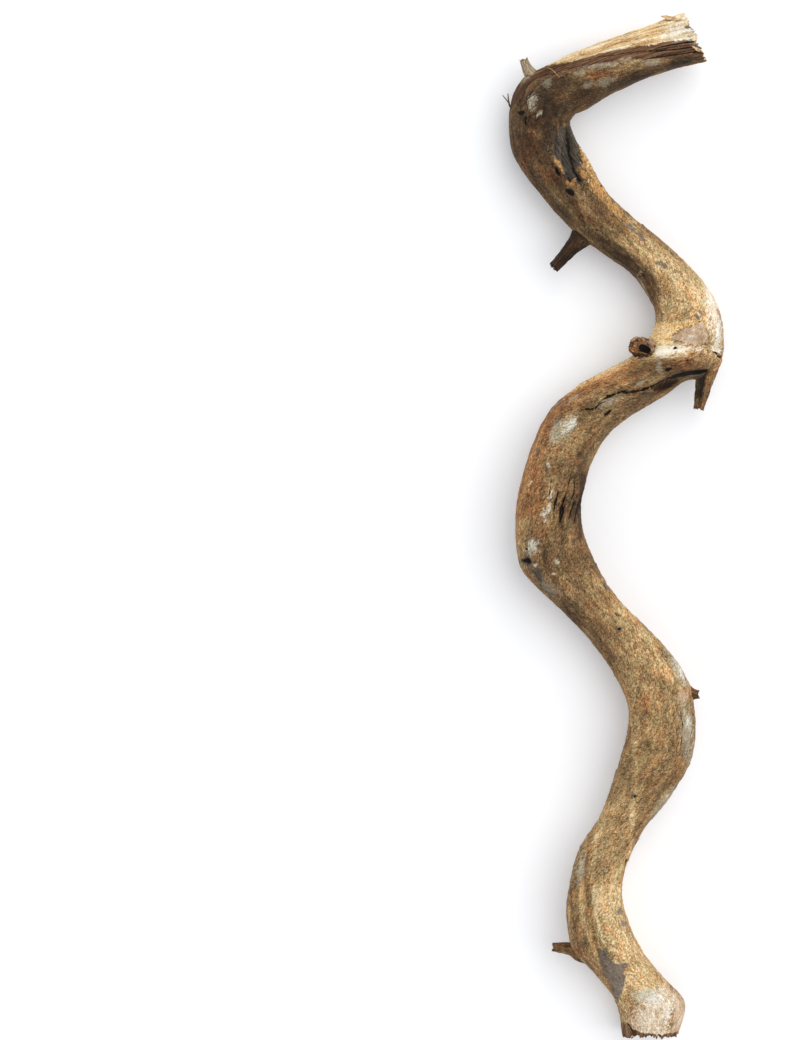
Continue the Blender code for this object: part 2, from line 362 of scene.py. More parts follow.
def driedBark():
    board = Board("driedBark")
    cloths = {cloth: board.number(cloth, 1) for cloth in ("grain", "slant")}
    layers = {name: board.noise(cloths[cloth], *rest) for name, (cloth, *rest) in bark["layers"].items()}
    layers.update(plain=1, rust=board.number("rust"))
    layers["crackle"] = 1 - board.between(0, bark["crackWidth"], abs(layers["crackle"]))
    net = 1 - board.between(0, bark["cellWidth"], abs(layers["cells"]))
    ragged = layers["ragged"]

    def blend(shares):
        return sum(layers[name] * share for name, share in shares.items())

    # brightness: the tone, which is partly painted light and shade, lifted on ridges and lowered in grooves
    # by the crest, partly as wear and partly as painted highlight and shade; and then the bark's own colours
    light = board.number("tone") + 0.5 + board.number("crest") * bark["crestLight"]
    light = light + board.number("net") * net * bark["netLight"]
    low, gain = bark["grainLight"]
    layers["grains"] = blend(bark["grains"]) * (low + light * gain)
    layers["strands"] = blend(bark["strands"])
    colour = board.ramp(light + layers["grains"] + blend(bark["colour"]), bark["colours"])
    for low, high, shares, tint in bark["tints"].values():
        tinted = board.mix(1.0, colour, tint, "MULTIPLY")
        colour = board.mix(board.between(low, high, blend(shares)), colour, tinted)

    # marks, and the holes and cracks in them, painted near black as their shade
    for name, (soft, wild, share, shade, stops) in bark["marks"].items():
        look = board.number(name)
        edge = blend(bark["edge"]) * wild * board.between(0, 0.3, look)
        layers[name] = board.between(0.5 - soft, 0.5 + soft, look + edge)
        colour = board.mix(layers[name] * share, colour, board.ramp(light + blend(shade), stops))
    for name, (low, high, wild) in bark["shadedHolesAndCracks"].items():
        hole = board.between(low, high, board.number(name) + ragged * wild)
        colour = board.mix(hole, colour, bark["dark"])
    board.feed(board.shader.inputs["Base Color"], colour)
    board.feed(board.shader.inputs["Roughness"], blend(bark["roughness"]))
    board.shader.inputs["Specular IOR Level"].default_value = bark["shine"]

    height = blend(bark["height"]) * (1 - blend(bark["calm"]))
    height = height + layers["strand"] * blend(bark["strandHeight"]) + ragged * blend(bark["raggedHeight"])
    sockets = {"Strength": bark["bump"], "Distance": mm, "Height": height}
    board.feed(board.shader.inputs["Normal"], board.addNode("ShaderNodeBump", {}, sockets))
    return board.material


# The stem

stem = {
    "rings": 620,
    "sides": 150,
    "crowding": 0.3,  # how much closer the columns stand on top than on the sides
    "grainRadius": 22,  # of the round cloth of grain that its noise is read from
    "grainTwist": 0.0025,  # turn of the grain in radians a millimetre
    "crossTwist": 0.028,  # and of the slanting grain that crosses it
    "bending": 2.2,  # how far noise bends the marks, in mm
    # Each row is one cross section, from the torn end to the foot: the plan place of its right-hand
    # edge and of its left-hand edge as one walks along it, and the heights of its underside and top.
    "sections": (
        # upper limb
        (51, 381, 66, 347, 12, 50),
        (18, 371, 32, 338, 11, 51),
        (-12, 361, 3, 326, 9, 50),
        (-42, 349, -21, 312, 5, 48),
        (-57, 342, -29, 309, 2, 47),
        # first bend
        (-69, 335, -32, 306, -1, 46),
        (-76, 325, -33, 304, -3, 45),
        (-79, 313, -33, 301, -4, 44),
        (-80, 302, -32, 298, -4, 44),
        (-79, 290, -31, 294, -3, 44),
        (-76, 278, -29, 288, -1, 44),
        (-70, 267, -26, 281, 2, 45),
        # descending stem
        (-58, 251, -20, 270, 4, 45),
        (-46, 236, -13, 258, 5, 44),
        (-33, 223, -4, 246, 6, 42),
        (-12, 206, 14, 230, 6, 40),
        (8, 193, 35, 214, 4, 38),
        (17, 184, 47, 203, 3, 39),
        (24, 173, 60, 189, 1, 42),
        # node
        (29, 163, 70, 175, -1, 45),
        (30, 154, 77, 160, -2, 48),
        (27, 145, 80, 143, -2, 51),
        (23, 139, 80, 130, -2, 53),
        (19, 133, 76, 117, -1, 52),
        (13, 128, 66, 111, 0, 48),
        (7, 124, 52, 109, 1, 47),
        # lower limb
        (-2, 119, 39, 100, 3, 47),
        (-24, 107, 11, 82, 6, 50),
        (-37, 97, -2, 72, 8, 53),
        (-48, 88, -11, 62, 10, 55),
        # middle bend
        (-56, 76, -17, 52, 11, 57),
        (-62, 62, -21, 43, 12, 58),
        (-68, 46, -23, 33, 13, 60),
        (-75, 15, -26, 15, 13, 61),
        (-75, -10, -26, 0, 12, 60),
        (-71, -33, -23, -13, 11, 58),
        (-63, -43, -20, -20, 10, 56),
        # diagonal
        (-42, -61, -10, -39, 8, 50),
        (-21, -82, 5, -60, 7, 45),
        (-6, -103, 26, -80, 7, 44),
        # right bulge
        (0, -114, 36, -91, 6, 46),
        (9, -134, 53, -115, 5, 50),
        (10, -154, 59, -144, 5, 52),
        (5, -173, 56, -174, 6, 54),
        (-2, -193, 41, -201, 9, 52),
        # lower bend
        (-13, -220, 20, -229, 12, 51),
        (-28, -243, 9, -253, 14, 54),
        (-35, -269, 5, -276, 13, 56),
        (-37, -295, 9, -296, 10, 57),
        (-31, -319, 19, -319, 5, 55),
        # foot
        (-13, -340, 35, -340, 1, 50),
        (1, -360, 53, -361, -2, 46),
        (6, -382, 49, -382, -1, 42),
    ),
    "lobes": ((3, 0.035, 1.2), (5, 0.022, -1.7)),
    # Forms of the two sides: depth, half width and path in plan
    "upperForms": (
        (3.5, 5, ((64, 355), (25, 352), (-12, 349), (-42, 342), (-61, 331))),
        (5, 7, ((-38, 298), (-40, 281), (-37, 266), (-31, 255))),
        (3.5, 4, ((27, 131), (42, 131), (68, 133), (80, 128))),
        (-3.5, 5, ((24, 121), (40, 121), (58, 121), (76, 123))),
        (6, 3.5, ((62, 112), (48, 108), (29, 103), (3, 99), (-13, 94), (-24, 84))),
        (3.5, 5, ((-40, 33), (-44, 14), (-46, 0))),
        (-2.5, 5, ((15, -150), (13, -169), (12, -199), (9, -229), (8, -248))),
        (4.5, 4, ((-19, -236), (-21, -266), (-19, -285), (-14, -311), (-6, -338), (3, -362))),
    ),
    "lowerForms": (
        (3, 5, ((-2, 345), (-40, 330), (-62, 300), (-52, 268), (-20, 236))),
        (4, 5, ((10, 112), (-28, 88), (-48, 52), (-56, 10), (-50, -24), (-20, -58))),
        (3.5, 5, ((12, -100), (34, -136), (36, -168), (18, -204), (0, -230))),
        (3.5, 4.5, ((-10, -246), (-14, -282), (-6, -314), (14, -338))),
    ),
    # Noises, for the relief and for the marks: the cloth each is read from, its fineness across and
    # along it, seed, how many layers, and its height, in mm for the relief
    "noises": {
        "ridges": ("grain", 0.16, 0.012, 11, 3, 0.9),
        "fibres": ("grain", 0.36, 0.03, 23, 2, 0.4),
        "scabs": ("slant", 0.40, 0.26, 31, 3, 0.55),
        "swells": ("grain", 0.05, 0.025, 47, 2, 1.2),
        "ribs": ("grain", 0.5, 0.012, 59, 3, 1),
        "ragged": ("slant", 0.35, 0.25, 71, 3, 1),
        "jag": ("grain", 0.45, 0.38, 89, 3, 1),
        "stains": ("grain", 0.075, 0.035, 97, 3, 1),
        "washes": ("grain", 0.06, 0.02, 103, 3, 1),
    },
    "reliefEdge": (0.42, 0.6),  # from and to which strength torn, fibrous or smooth wood takes over
    "holeDepth": 2.2,
    # Marks that stand up or lie deeper: by how much, from and to which strength, and how ragged
    "steps": {
        "crust": (0.35, 0.45, 0.6, 0.5),
        "chalk": (0.35, 0.45, 0.6, 0.5),
        "gold": (0.45, 0.40, 0.6, 0.6),
        "peel": (-0.8, 0.46, 0.54, 0),
        "scar": (-0.5, 0.44, 0.56, 0),
        "grey": (-0.7, 0.4, 0.7, 0),
    },
    # The torn face and its band of fibres: how ragged they are, and how far across the stem they
    # begin, from -1 at its left to 1 at its right, on the upper side and on the lower side
    "tornStations": (0, 35, 68, 96, 109, 118, 130, 145),  # mm from the torn end
    "softness": 8,  # of their edges, in mm
    "torn": {
        "bare": (
            0.6, (-0.12, 0.16, 0.52, 0.83, 1.0, 1.3, 1.6, 1.8), (0.0, 0.25, 0.75, 1.02, 1.2, 1.4, 1.6, 1.8),
        ),
        "fibre": (
            0.9, (-0.6, -0.4, -0.02, 0.41, 0.6, 0.71, 0.92, 1.15), (-0.4, -0.2, 0.4, 0.7, 0.8, 0.9, 1.1, 1.3),
        ),
    },
    # Marks by noise on the sides and the underside: how much, from and to which value of the noise,
    # and which way its stains and its washes count
    "hiddenMarks": {
        "crust": (1, 0.15, 0.75, 1, 0),
        "chalk": (1, 0.4, 1.0, 1, 0),
        "rust": (0.8, 0.0, 0.7, 0, 1),
        "peel": (0.9, 0.3, 0.6, -1, 0),
        "gold": (0.8, 0.15, 0.7, 0, -1),
        "grey": (0.7, 0.3, 0.8, -1, -1),
    },
}

# Cracks, seams and ridges of the upper side: rise in mm (below zero for a furrow), half width, how
# jagged, change of tone, how dark, and path in plan. The change of tone is partly the bark's own colour,
# partly painted highlight on ridges and painted shade in grooves, in fissures, on the shaded flanks and
# on the lower edge of the upper limb. How dark is the near-black painted shade inside cracks, under the
# ledge and under the flakes.
lines = {
    # painted shade on the flanks turned from the light
    "flank of the descending stem": (
        0, 7, 1, -0.1, 0, ((-56, 253), (-49.5, 243), (-22.5, 214), (6, 196), (22, 180), (29.5, 162)),
    ),
    "flank of the diagonal": (
        0, 6, 1, -0.08, 0, ((-58, -46), (-36, -66), (-18, -80), (-8, -102), (-1, -116)),
    ),
    # painted shade on the lower edge of the upper limb, which is turned from the light
    "lower edge of the upper limb": (0, 4.5, 1, -0.22, 0, ((58, 348), (30, 339), (3, 328), (-22, 314))),
    "red band of the lower limb": (0, 5, 1, -0.1, 0, ((6, 121), (-22, 106), (-40, 94), (-52, 78))),
    "upper edge of the scar": (
        0.3, 0.55, 0.6, 0, 0.75, ((39, 140), (43, 143), (49, 146.5), (54, 147), (58, 150.5), (62.5, 152),
         (66, 149)),
    ),
    "line by the pale stripe": (-0.5, 0.7, 0.7, -0.1, 0.15, ((43, -146), (44, -160), (43, -176))),
    # painted shadow under the ledge, in the mouth of the lower crack
    "mouth of the lower crack": (
        -3.0, 1.8, 0.7, -0.1, 0.9, ((76, 112), (67, 114), (58, 113), (48, 111), (38, 108)),
    ),
    "crack of the lower limb": (
        -1.5, 0.7, 0.9, -0.04, 0.9, ((40, 109), (31, 105), (23, 102), (14, 100), (3, 99), (-4, 97),
         (-11, 94), (-17, 90)),
    ),
    "end of the crack": (
        -1.0, 0.75, 1.1, -0.05, 1, ((-9, 92.5), (-14, 90.5), (-17, 87), (-23, 86.2), (-29, 84)),
    ),
    "hollow under the crack": (-1.4, 2.4, 0.8, -0.26, 0, ((46, 107), (36, 104), (28, 101))),
    "ledge line": (-0.7, 0.7, 0.5, 0, 0.55, ((34, 123), (49, 122), (65, 123))),
    "lower ledge line": (-0.6, 0.6, 0.6, 0, 0.45, ((38, 118), (48, 119.5), (60, 120))),
    "rim of the ledge": (1.3, 2.6, 0.5, 0.05, 0, ((30, 128), (42, 130), (58, 130), (74, 128))),
    "shadow under the flake of the node": (-1.6, 1.2, 0.2, -0.3, 1.2, ((69, 131), (74, 128), (81, 125.5))),
    "crease of the node": (-0.9, 1.2, 0.8, -0.06, 0.12, ((27, 134), (40, 134), (52, 133), (68, 134.5))),
    "first fissure of the middle bend": (-2.2, 1.2, 0.8, -0.1, 0.6, ((-38, 27), (-42, 15), (-44.5, 3))),
    "second fissure": (-1.7, 1.1, 0.9, 0, 0.85, ((-44, 27), (-47.5, 15), (-48, 5))),
    "third fissure": (-1.2, 1.0, 0.6, -0.05, 0.8, ((-30, 23), (-35, 10), (-37, 4))),
    "fourth fissure": (-1.0, 0.9, 0.6, -0.05, 0.7, ((-36, 35), (-38, 27))),
    "fifth fissure": (-1.0, 0.9, 0.6, -0.05, 0.8, ((-40, 14), (-43, 4), (-47, -3))),
    "sixth fissure": (-0.9, 0.9, 0.6, -0.05, 0.6, ((-33, 36), (-33, 24), (-38, 12))),
    "seventh fissure": (-0.9, 0.9, 0.6, -0.05, 0.75, ((-28, 20), (-31, 8), (-33, -1))),
    "outer fissure": (-0.9, 0.9, 0.8, 0, 0.5, ((-50, 36), (-51, 27), (-52, 19))),
    "fissure by the edge": (-1.6, 1.4, 0.9, 0, 0.8, ((-22.5, 43), (-24, 30), (-26, 15))),
    "deep hollow": (-3.2, 2.7, 1.5, -0.16, 0.25, ((-35, 297), (-35, 282), (-32, 266), (-28, 258))),
    "long hollow": (-2.0, 1.9, 1.3, -0.12, 0.1, ((-40, 283), (-39, 266), (-31, 252))),
    "left hollow": (-1.8, 1.5, 0.8, -0.08, 0.3, ((-43.5, 289), (-45, 276))),
    "right hollow": (-1.3, 1.2, 1.0, -0.06, 0.3, ((-31, 286), (-26, 273), (-23, 267))),
    "strip of the hollow": (1.3, 1.3, 0.8, 0.12, 0, ((-39, 296), (-40.5, 284), (-41.5, 272), (-37, 262))),
    "outer strip of the hollow": (
        1.2, 1.4, 0.9, 0.25, 0, ((-29, 294), (-26.5, 284), (-22, 272), (-17, 262)),
    ),
    "seam of the fibres": (
        -1.0, 0.7, 0.25, -0.05, 0.12, ((62, 364.5), (45, 362), (30, 359.2), (3, 356.4), (-28, 351.3),
         (-44, 347)),
    ),
    "lower seam of the fibres": (
        -0.8, 0.7, 0.3, -0.05, 0.12, ((64, 354.5), (45, 351.8), (30, 349), (3, 345.8), (-28, 342.3),
         (-42, 339), (-60, 327), (-70, 314)),
    ),
    "first split of the fibres": (
        -0.9, 0.7, 0.15, -0.03, 0.5, ((60, 358), (25, 353), (-12, 349), (-40, 342), (-58, 334)),
    ),
    "second split of the fibres": (
        -0.8, 0.5, 0.3, 0, 0.4, ((-20, 350), (-44, 343), (-62, 331), (-74, 316)),
    ),
    "third split of the fibres": (
        -0.9, 0.75, 0.25, -0.03, 0.7, ((66, 356.5), (48, 354.5), (36, 353.2), (22, 351.6)),
    ),
    "fourth split of the fibres": (
        -0.9, 0.75, 0.3, -0.03, 0.75, ((67, 361), (52, 358.6), (38, 356.6), (26, 354.6)),
    ),
    "fifth split of the fibres": (
        -0.9, 0.75, 0.3, -0.03, 0.75, ((68, 353.6), (54, 352), (38, 349.4), (18, 346.2)),
    ),
    "first split of the torn face": (-0.9, 0.55, 0.6, 0, 0.5, ((40, 375), (20, 369), (3, 365), (-14, 360))),
    "second split of the torn face": (
        -0.9, 0.55, 0.6, 0, 0.45, ((44, 367), (28, 364), (13, 362), (-12, 356)),
    ),
    "third split of the torn face": (-0.7, 0.5, 0.6, 0, 0.35, ((50, 378), (34, 375), (24, 373))),
    "crack of the first bend": (-0.7, 0.7, 0.4, 0, 0.6, ((-67, 269), (-60, 256))),
    "line on the right bulge": (-0.7, 1.0, 0.5, -0.12, 0, ((31, -92), (38, -103), (43, -115), (50, -122))),
    "lower line on the right bulge": (-0.6, 0.8, 0.5, 0, 0.35, ((46, -133), (48, -150), (46, -170))),
    "ridge of the lower bend": (
        0.9, 2.0, 0.6, 0.12, 0, ((13, -160), (13, -180), (12, -199), (9, -229), (8, -250)),
    ),
    "left ridge of the lower bend": (
        0.9, 1.7, 0.5, 0.22, 0, ((-15, -230), (-19, -250), (-19, -268), (-16.5, -290), (-11, -310)),
    ),
    "ridge of the left lobe": (
        0.8, 1.8, 0.5, 0.18, 0, ((-28, -262), (-28, -285), (-22, -305), (-14, -325)),
    ),
    "ridge of the descending stem": (0.7, 3.0, 0.8, 0.13, 0, ((-36, 252), (-22, 235), (-6, 219), (8, 208))),
    "ridge above the node": (0.7, 2.6, 0.6, 0.13, 0, ((18, 201), (28, 190), (34, 176), (35, 160))),
    "ridge of the diagonal": (0.7, 3.4, 0.8, 0.12, 0, ((-9, -40), (1, -55), (14, -72), (27, -92))),
    "groove of the lower bend": (
        -0.6, 1.0, 0.3, -0.1, 0, ((-18, -227), (-23, -247), (-24, -263), (-21.5, -282), (-18.5, -301),
         (-15, -315), (-10, -328)),
    ),
    "left groove of the lower bend": (
        -0.6, 1.0, 0.3, -0.16, 0, ((-34, -270), (-34.5, -284), (-32.5, -301), (-27, -319), (-21, -329),
         (-12, -341)),
    ),
    "slit": (-2.4, 1.9, 0.1, 0, 1, ((7.2, -250), (7.6, -259))),
    "crack of the foot": (-1.2, 0.7, 0.5, 0, 0.85, ((4, -377), (8, -373.5), (12, -379), (14, -383))),
    "shoulder of the foot": (1.2, 2.2, 0.4, 0.1, 0, ((40, -352), (47, -359), (51, -368), (50, -380))),
    "line of the foot": (-0.6, 0.7, 0.3, 0, 0.5, ((49, -370), (47, -374))),
    "curled edge under the peel": (0.9, 0.8, 0.3, 0.15, 0, ((4, -333), (7, -331.5), (12, -333))),
    "shadow under the curled edge": (-0.7, 0.6, 0.3, 0, 0.6, ((4, -336), (7, -333.5), (11, -335))),
    "edge of the peel": (0.6, 0.9, 0.4, 0.16, 0, ((6, -336), (5, -345), (3, -352), (2, -362))),
}

# Marks on the upper side: plan place, half length, half width and turn in degrees
marks = {
    "crust": (
        (-41, 70, 11.5, 5.2, 50), (-51, -47, 8, 3, -38), (-29, 335, 3.4, 2, 8), (-22, 327, 3.6, 2, 10),
        (-9, 330, 7, 3, 15), (-12, 341.5, 12, 1.6, 6), (25, 344.5, 8, 2.4, 8), (6, 345, 6, 1.4, 6),
        (-52, 329, 3.4, 3, 0), (-27, -255, 9.5, 3, 78), (34, -207, 14, 2.8, 52), (31, 118, 6, 1.9, -80),
        (-5, 92.5, 9, 3, 25), (17, 105, 3, 1.6, 20), (-68, 336, 5, 3, 60), (51, -156, 22, 4.6, -84),
        (45, -107, 15, 3, -62), (20, -350, 8, 4, 10),
    ),
    "chalk": (
        (-63, 316, 4.6, 3.4, 75), (-58, 305.5, 2.4, 1.1, 60), (-52, 44.6, 1.3, 1.3, 0),
        (-50, 22.5, 3.4, 1.6, 65), (-52, 13, 3.4, 1.0, 75), (-56, 9.5, 2.6, 1.2, 60),
        (-55, 4, 2.6, 1, 70), (-63.5, -16, 5.5, 3.6, 55), (-46, -27.5, 2.2, 1.3, 60),
        (-48, -36.5, 1.5, 1.1, 40), (-61.5, -30.5, 2, 1, 30), (76, 143, 12, 3.4, 83),
        (52.5, -146.5, 3, 2.2, 50), (28, -351, 6, 2.6, 30), (-36, 74, 6, 2.4, 50),
        (46.5, -109, 7, 1.2, -62), (53, -147, 5, 1.6, -86), (38, -362, 8, 1.6, 70),
        (55, 140, 3, 1.2, -10),
    ),
    "cream": ((71, 165, 20, 4.5, 95), (46, -364, 12, 4, -80), (22, 172, 14, 2, -75), (40, 130.5, 12, 3, 3)),
    # the last three scar marks are pale streaks along the upper edge of the lower limb, partly its own colour
    # and partly painted highlight
    "scar": ((48.5, -128, 5, 3, -80), (-46, 89, 9, 0.9, 44), (-33, 94, 9, 0.8, 38), (-56, 76, 7, 0.8, 60)),
    "rust": (
        (-64, 22, 16, 9, 85), (-26, 103, 26, 6, 33), (47, 119, 17, 5, 0), (6, 109, 20, 4, 20),
        (36, 104, 9, 3, 28), (51, -125, 5, 4, 20), (-25, 24, 16, 2.6, 82), (-49, 259, 10, 5, -50),
        (-14, 334, 14, 2.6, 10), (-8, 300, 14, 8, 80), (-65, 285, 20, 5, 80), (20, -130, 9, 5, 60),
        (-30, -319, 9, 4, 0),
    ),
    # the gold mark at (-4, 117) is the pale upper edge of the lower limb, partly its own colour and partly
    # painted highlight
    "gold": (
        (-42.5, 268, 6, 1.4, -68), (-26, 263, 5, 1.8, -50), (-34, 255, 4.5, 2.4, -30),
        (-21, 264, 9, 2.0, -55), (-24.5, 279, 9, 1.6, -72), (9, -331, 3.4, 1.4, 0),
        (5, -343, 7, 1.0, -80), (-13, 250, 10, 4, -50), (-2, 236, 9, 3, -45), (-4, 117, 20, 2.2, 27),
        (-29, 103, 10, 1.6, 35),
    ),
    # the first grey mark is painted shadow under the ledge
    "grey": (
        (66, 111, 10, 3, 5), (-69, -27, 5, 2.6, 5), (28, 157, 4, 2.6, 60), (20, 98, 3.8, 1.7, 20),
        (-45, 78, 5, 1.1, 55), (-60, 54, 2.5, 1.4, 70), (48, 368, 2.6, 0.7, 12),
        (41, 372, 2.4, 0.6, 15), (54, 366, 2.4, 0.7, -50), (33, 367, 3, 0.6, 14),
        (14, 364, 3.4, 0.6, 16), (0, -67.5, 1.9, 1, -20), (1.5, -77.5, 3, 1.5, -20),
        (11, -201.5, 2.4, 1.8, 0),
    ),
    "peel": (
        (11, 222, 3.6, 1.4, -45), (18, 216, 3.8, 1.6, -50), (33, 194.5, 5.2, 1.7, -33),
        (62, 158, 2.8, 1.5, -20), (28, 151.5, 2.6, 1.4, 70), (59, 154, 2.8, 1.1, -25),
        (2.5, -288, 3.6, 2.2, -10), (5, -296, 3, 2, -40), (-7, -46, 3, 1.6, -50),
        (53, 371, 4.2, 1.7, -12),
    ),
    # dark holes, painted near black as the shade in them; the marks at (76, 127.3) and (69, 132.6) are
    # painted shadow under the node's flake
    "pit": (
        (-69, -27, 3.8, 1.5, 5), (-68, -17, 1.5, 1.1, 0), (-71.5, 308, 4, 1.6, 0),
        (-67.5, 302, 3.4, 1, 85), (42.5, 131.5, 2.2, 1.1, 10), (-45, 263, 3.6, 1.5, -55),
        (-35.5, 248, 3.6, 2.2, -40), (-12.5, 254, 1.1, 1, 0), (37.5, 115.5, 3, 1.5, 20),
        (-7.5, -46, 2, 0.8, -50), (12, -201.5, 1.5, 1, 20), (-7.5, 83, 3.2, 1.8, 40),
        (2, -77.5, 1.7, 0.8, -20), (0, -67.5, 1.2, 0.6, -20), (76, 127.3, 5, 0.8, -24),
        (69, 132.6, 2.2, 0.6, -20),
    ),
}

# Patches by their outlines in plan: what they are, how soft their edge is, and the outline
patches = {
    "peeled patch of the lower bend": (
        "peel", 2.6, ((-14, -316), (-9, -315), (-7.5, -318), (-9, -319), (-6, -322), (-2, -326),
         (4, -326), (7.5, -325), (7, -328), (5, -329), (3.5, -332), (5, -335), (4.5, -343), (3, -348),
         (2, -359), (-2, -351), (-4, -343), (-7, -340), (-10, -334), (-12, -328), (-14, -321)),
    ),
    # painted shade on the flank of the descending stem that is turned from the light
    "dark flank of the descending stem": (
        "shadedFlank", 3, ((-84, 294), (-80, 278), (-70, 262), (-58, 247), (-46, 232), (-33, 217), (-12, 201),
         (8, 189), (20, 180), (22, 188), (5, 207), (-6, 213), (-15, 218), (-22, 223), (-27, 234),
         (-32, 248), (-37, 259), (-46, 268), (-52, 280), (-62, 292)),
    ),
    # painted shade in the hollow of the first bend, in weathered grey
    "hollow of the first bend": (
        "grey", 7, ((-41, 298), (-33, 301), (-30, 295), (-28, 285), (-25, 274), (-22, 265), (-25, 259),
         (-29, 253), (-34, 254), (-38, 260), (-42, 268), (-47, 275), (-47, 289)),
    ),
    "white end of the torn face": (
        "chalk", 18, ((44, 374), (50, 372), (60, 372), (66, 362), (62, 361), (50, 363), (38, 364),
         (36, 369)),
    ),
    "reddish side of the middle bend": (
        "rust", 4, ((-80, 6), (-80, 40), (-70, 62), (-54, 86), (-34, 102), (-8, 118), (14, 126),
         (17, 118), (-5, 108), (-27, 94), (-45, 74), (-55, 54), (-57, 34), (-57, 8)),
    ),
    "lichen of the middle bend": (
        "crust", 6, ((-52, 64), (-49.5, 72), (-46, 77.5), (-40, 77), (-36, 74.5), (-43, 67), (-50, 61)),
    ),
    "brown patch": (
        "grey", 6, ((-65, -31), (-59, -31.5), (-55.5, -37.5), (-55, -43.5), (-58.5, -44), (-62, -38)),
    ),
    "golden patch of the node": (
        "gold", 5, ((25, 140), (27, 149), (33, 152), (42, 150), (48, 147), (42, 142), (39, 138),
         (42, 134), (36, 132), (29, 130), (28, 135)),
    ),
    "golden band above the scar": (
        "gold", 7, ((27, 149), (34, 151.5), (43, 149.8), (51, 151), (58, 151), (57, 149), (50, 146),
         (43, 144), (34, 146)),
    ),
    "scar of the node": (
        "scar", 3.2, ((40, 139), (43, 142), (49, 145.5), (54, 146), (58, 149.5), (62.5, 151),
         (65, 148), (67, 141), (67.5, 136.5), (62.5, 134.5), (55.5, 134), (50, 135), (47.5, 137.5),
         (43, 138)),
    ),
    "rim of the ledge": (
        "cream", 9, ((27, 128), (34, 132), (45, 133.5), (55, 132.5), (64, 132), (60, 130), (50, 127.5),
         (42, 125.8), (34, 125), (28, 126)),
    ),
    "fan of the foot": (
        "cream", 16, ((18, -349), (36, -345), (42, -355), (39, -368), (35, -388), (13, -388),
         (12, -365), (18, -356)),
    ),
    "broken corner of the foot": (
        "fibre", 3, ((2, -373), (6, -374.5), (11, -377), (18, -378.6), (26, -379.8), (36, -380),
         (47, -379), (50, -392), (0, -392)),
    ),
    "net of the foot": (
        "net", 24, ((4, -344), (22, -338), (40, -346), (46, -358), (44, -384), (12, -386), (6, -372),
         (14, -356)),
    ),
    "smooth side of the foot": (
        "scar", 7, ((43, -353), (56, -357), (60, -368), (52, -388), (40, -388), (43, -364)),
    ),
}

# Places that are darker or lighter all round: plan place, half length, half width, turn and change.
# They are partly the bark's own tone and partly painted light and shade: flanks and ridges turned to
# the light and the torn end made lighter, shaded flanks, undersides and hollows made darker.
toneAndPaintedLight = (
    (-60, 300, 36, 22, 80, -0.22), (-73, 298, 30, 8, 85, -0.1), (50, 350, 20, 6, 10, -0.14),
    (34, 143, 12, 9, 0, 0.3), (37, 130, 12, 4.5, 3, 0.44), (-40, 322, 24, 14, 30, -0.18),
    (-44, 310, 14, 10, 0, -0.08), (-5, 330, 34, 9, 16, -0.14), (56, 368, 22, 18, 15, 0.2),
    (20, 356, 40, 5, 15, 0.06), (25, 338, 40, 5, 14, -0.1), (30, 360, 50, 12, 14, 0.06),
    (-38, 275, 24, 9, -75, -0.12), (-64, 270, 26, 8, -60, 0.06), (-10, 225, 34, 8, -42, -0.06),
    (4, 204, 30, 5, -42, -0.09), (-16, 240, 26, 11, -48, -0.14), (26, 180, 22, 4, -75, -0.14),
    (25, 205, 24, 8, -40, 0.32), (52, 172, 24, 18, -60, 0.26), (68, 155, 20, 8, -75, 0.22),
    (52, 129.5, 26, 4.5, 0, 0.18), (52, 143, 12, 5, 20, -0.12), (50, 117, 26, 5, 0, -0.16),
    (-6, 115, 28, 4.5, 26, 0.16), (-4, 117.5, 24, 3, 27, 0.22), (16, 94, 30, 7, 24, -0.14),
    (-14, 80, 26, 8, 42, 0.04), (-42, 62, 20, 14, 60, 0.03), (-45, 42, 16, 12, 80, -0.07),
    (-37, 20, 18, 9, 80, -0.12), (-64, 30, 24, 7, 85, 0.08), (-28, 20, 26, 6, 88, -0.18),
    (-26.5, 22, 18, 3.2, 88, -0.32), (-42, 72, 12, 6, 50, 0.08), (-44, -16, 20, 16, 60, -0.12),
    (-24, -34, 18, 10, -50, -0.06), (-36, -62, 30, 6, -45, -0.1), (16, -84, 28, 8, -45, 0.1),
    (28, -132, 34, 18, -80, 0.1), (13, -140, 26, 4, -85, 0.05), (10, -205, 26, 5, 85, 0.1),
    (32, -205, 28, 7, 55, -0.06), (-10, -222, 22, 8, 55, 0.2), (-9, -268, 26, 9, 85, 0.14),
    (-30, -285, 30, 8, 85, 0.02), (2, -266, 30, 7, 85, 0.15), (2, -305, 30, 14, -70, 0.27),
    (18, -340, 22, 20, 0, 0.2), (30, -366, 26, 22, 0, 0.05), (30, 342, 8, 3.5, 12, 0.16),
    (64, 351, 5, 3.5, 0, -0.22), (0, 333, 9, 4.5, 15, 0.1), (-38, 319, 6, 4, 30, 0.2),
    (-65, 309, 5, 3.5, 0, 0.18), (-64, 291, 6, 4, 85, 0.12), (-53, 287, 9, 5, -80, -0.14),
    (-25, 248, 7, 4, -45, 0.1), (1, 218, 4.5, 4, 0, -0.15), (11, 227, 5, 3, -45, 0.18),
    (38, 159, 9, 6, 60, 0.13), (63, 132, 4, 3, 0, 0.12), (14, 111, 8, 4, 20, -0.13),
    (-33, 94, 5, 3, 35, 0.2), (-26, 89, 5, 3, 35, -0.1), (-12, 70, 10, 4, 35, -0.16),
    (-25, 57, 7, 5, 50, -0.19), (-14, -42, 7, 3, -45, 0.18), (2, -63, 7, 3, -45, 0.17),
    (12, -97, 9, 5, -50, 0.16), (40, -110, 14, 5, -55, 0.16), (36, -200, 5, 3, 60, 0.2),
    (-17, -246, 5, 3, 70, 0.14), (39, 104.5, 7, 3, 28, -0.24), (7, -360, 5, 3, -80, 0.16),
    (28, -385, 28, 3.5, 0, -0.22),
)


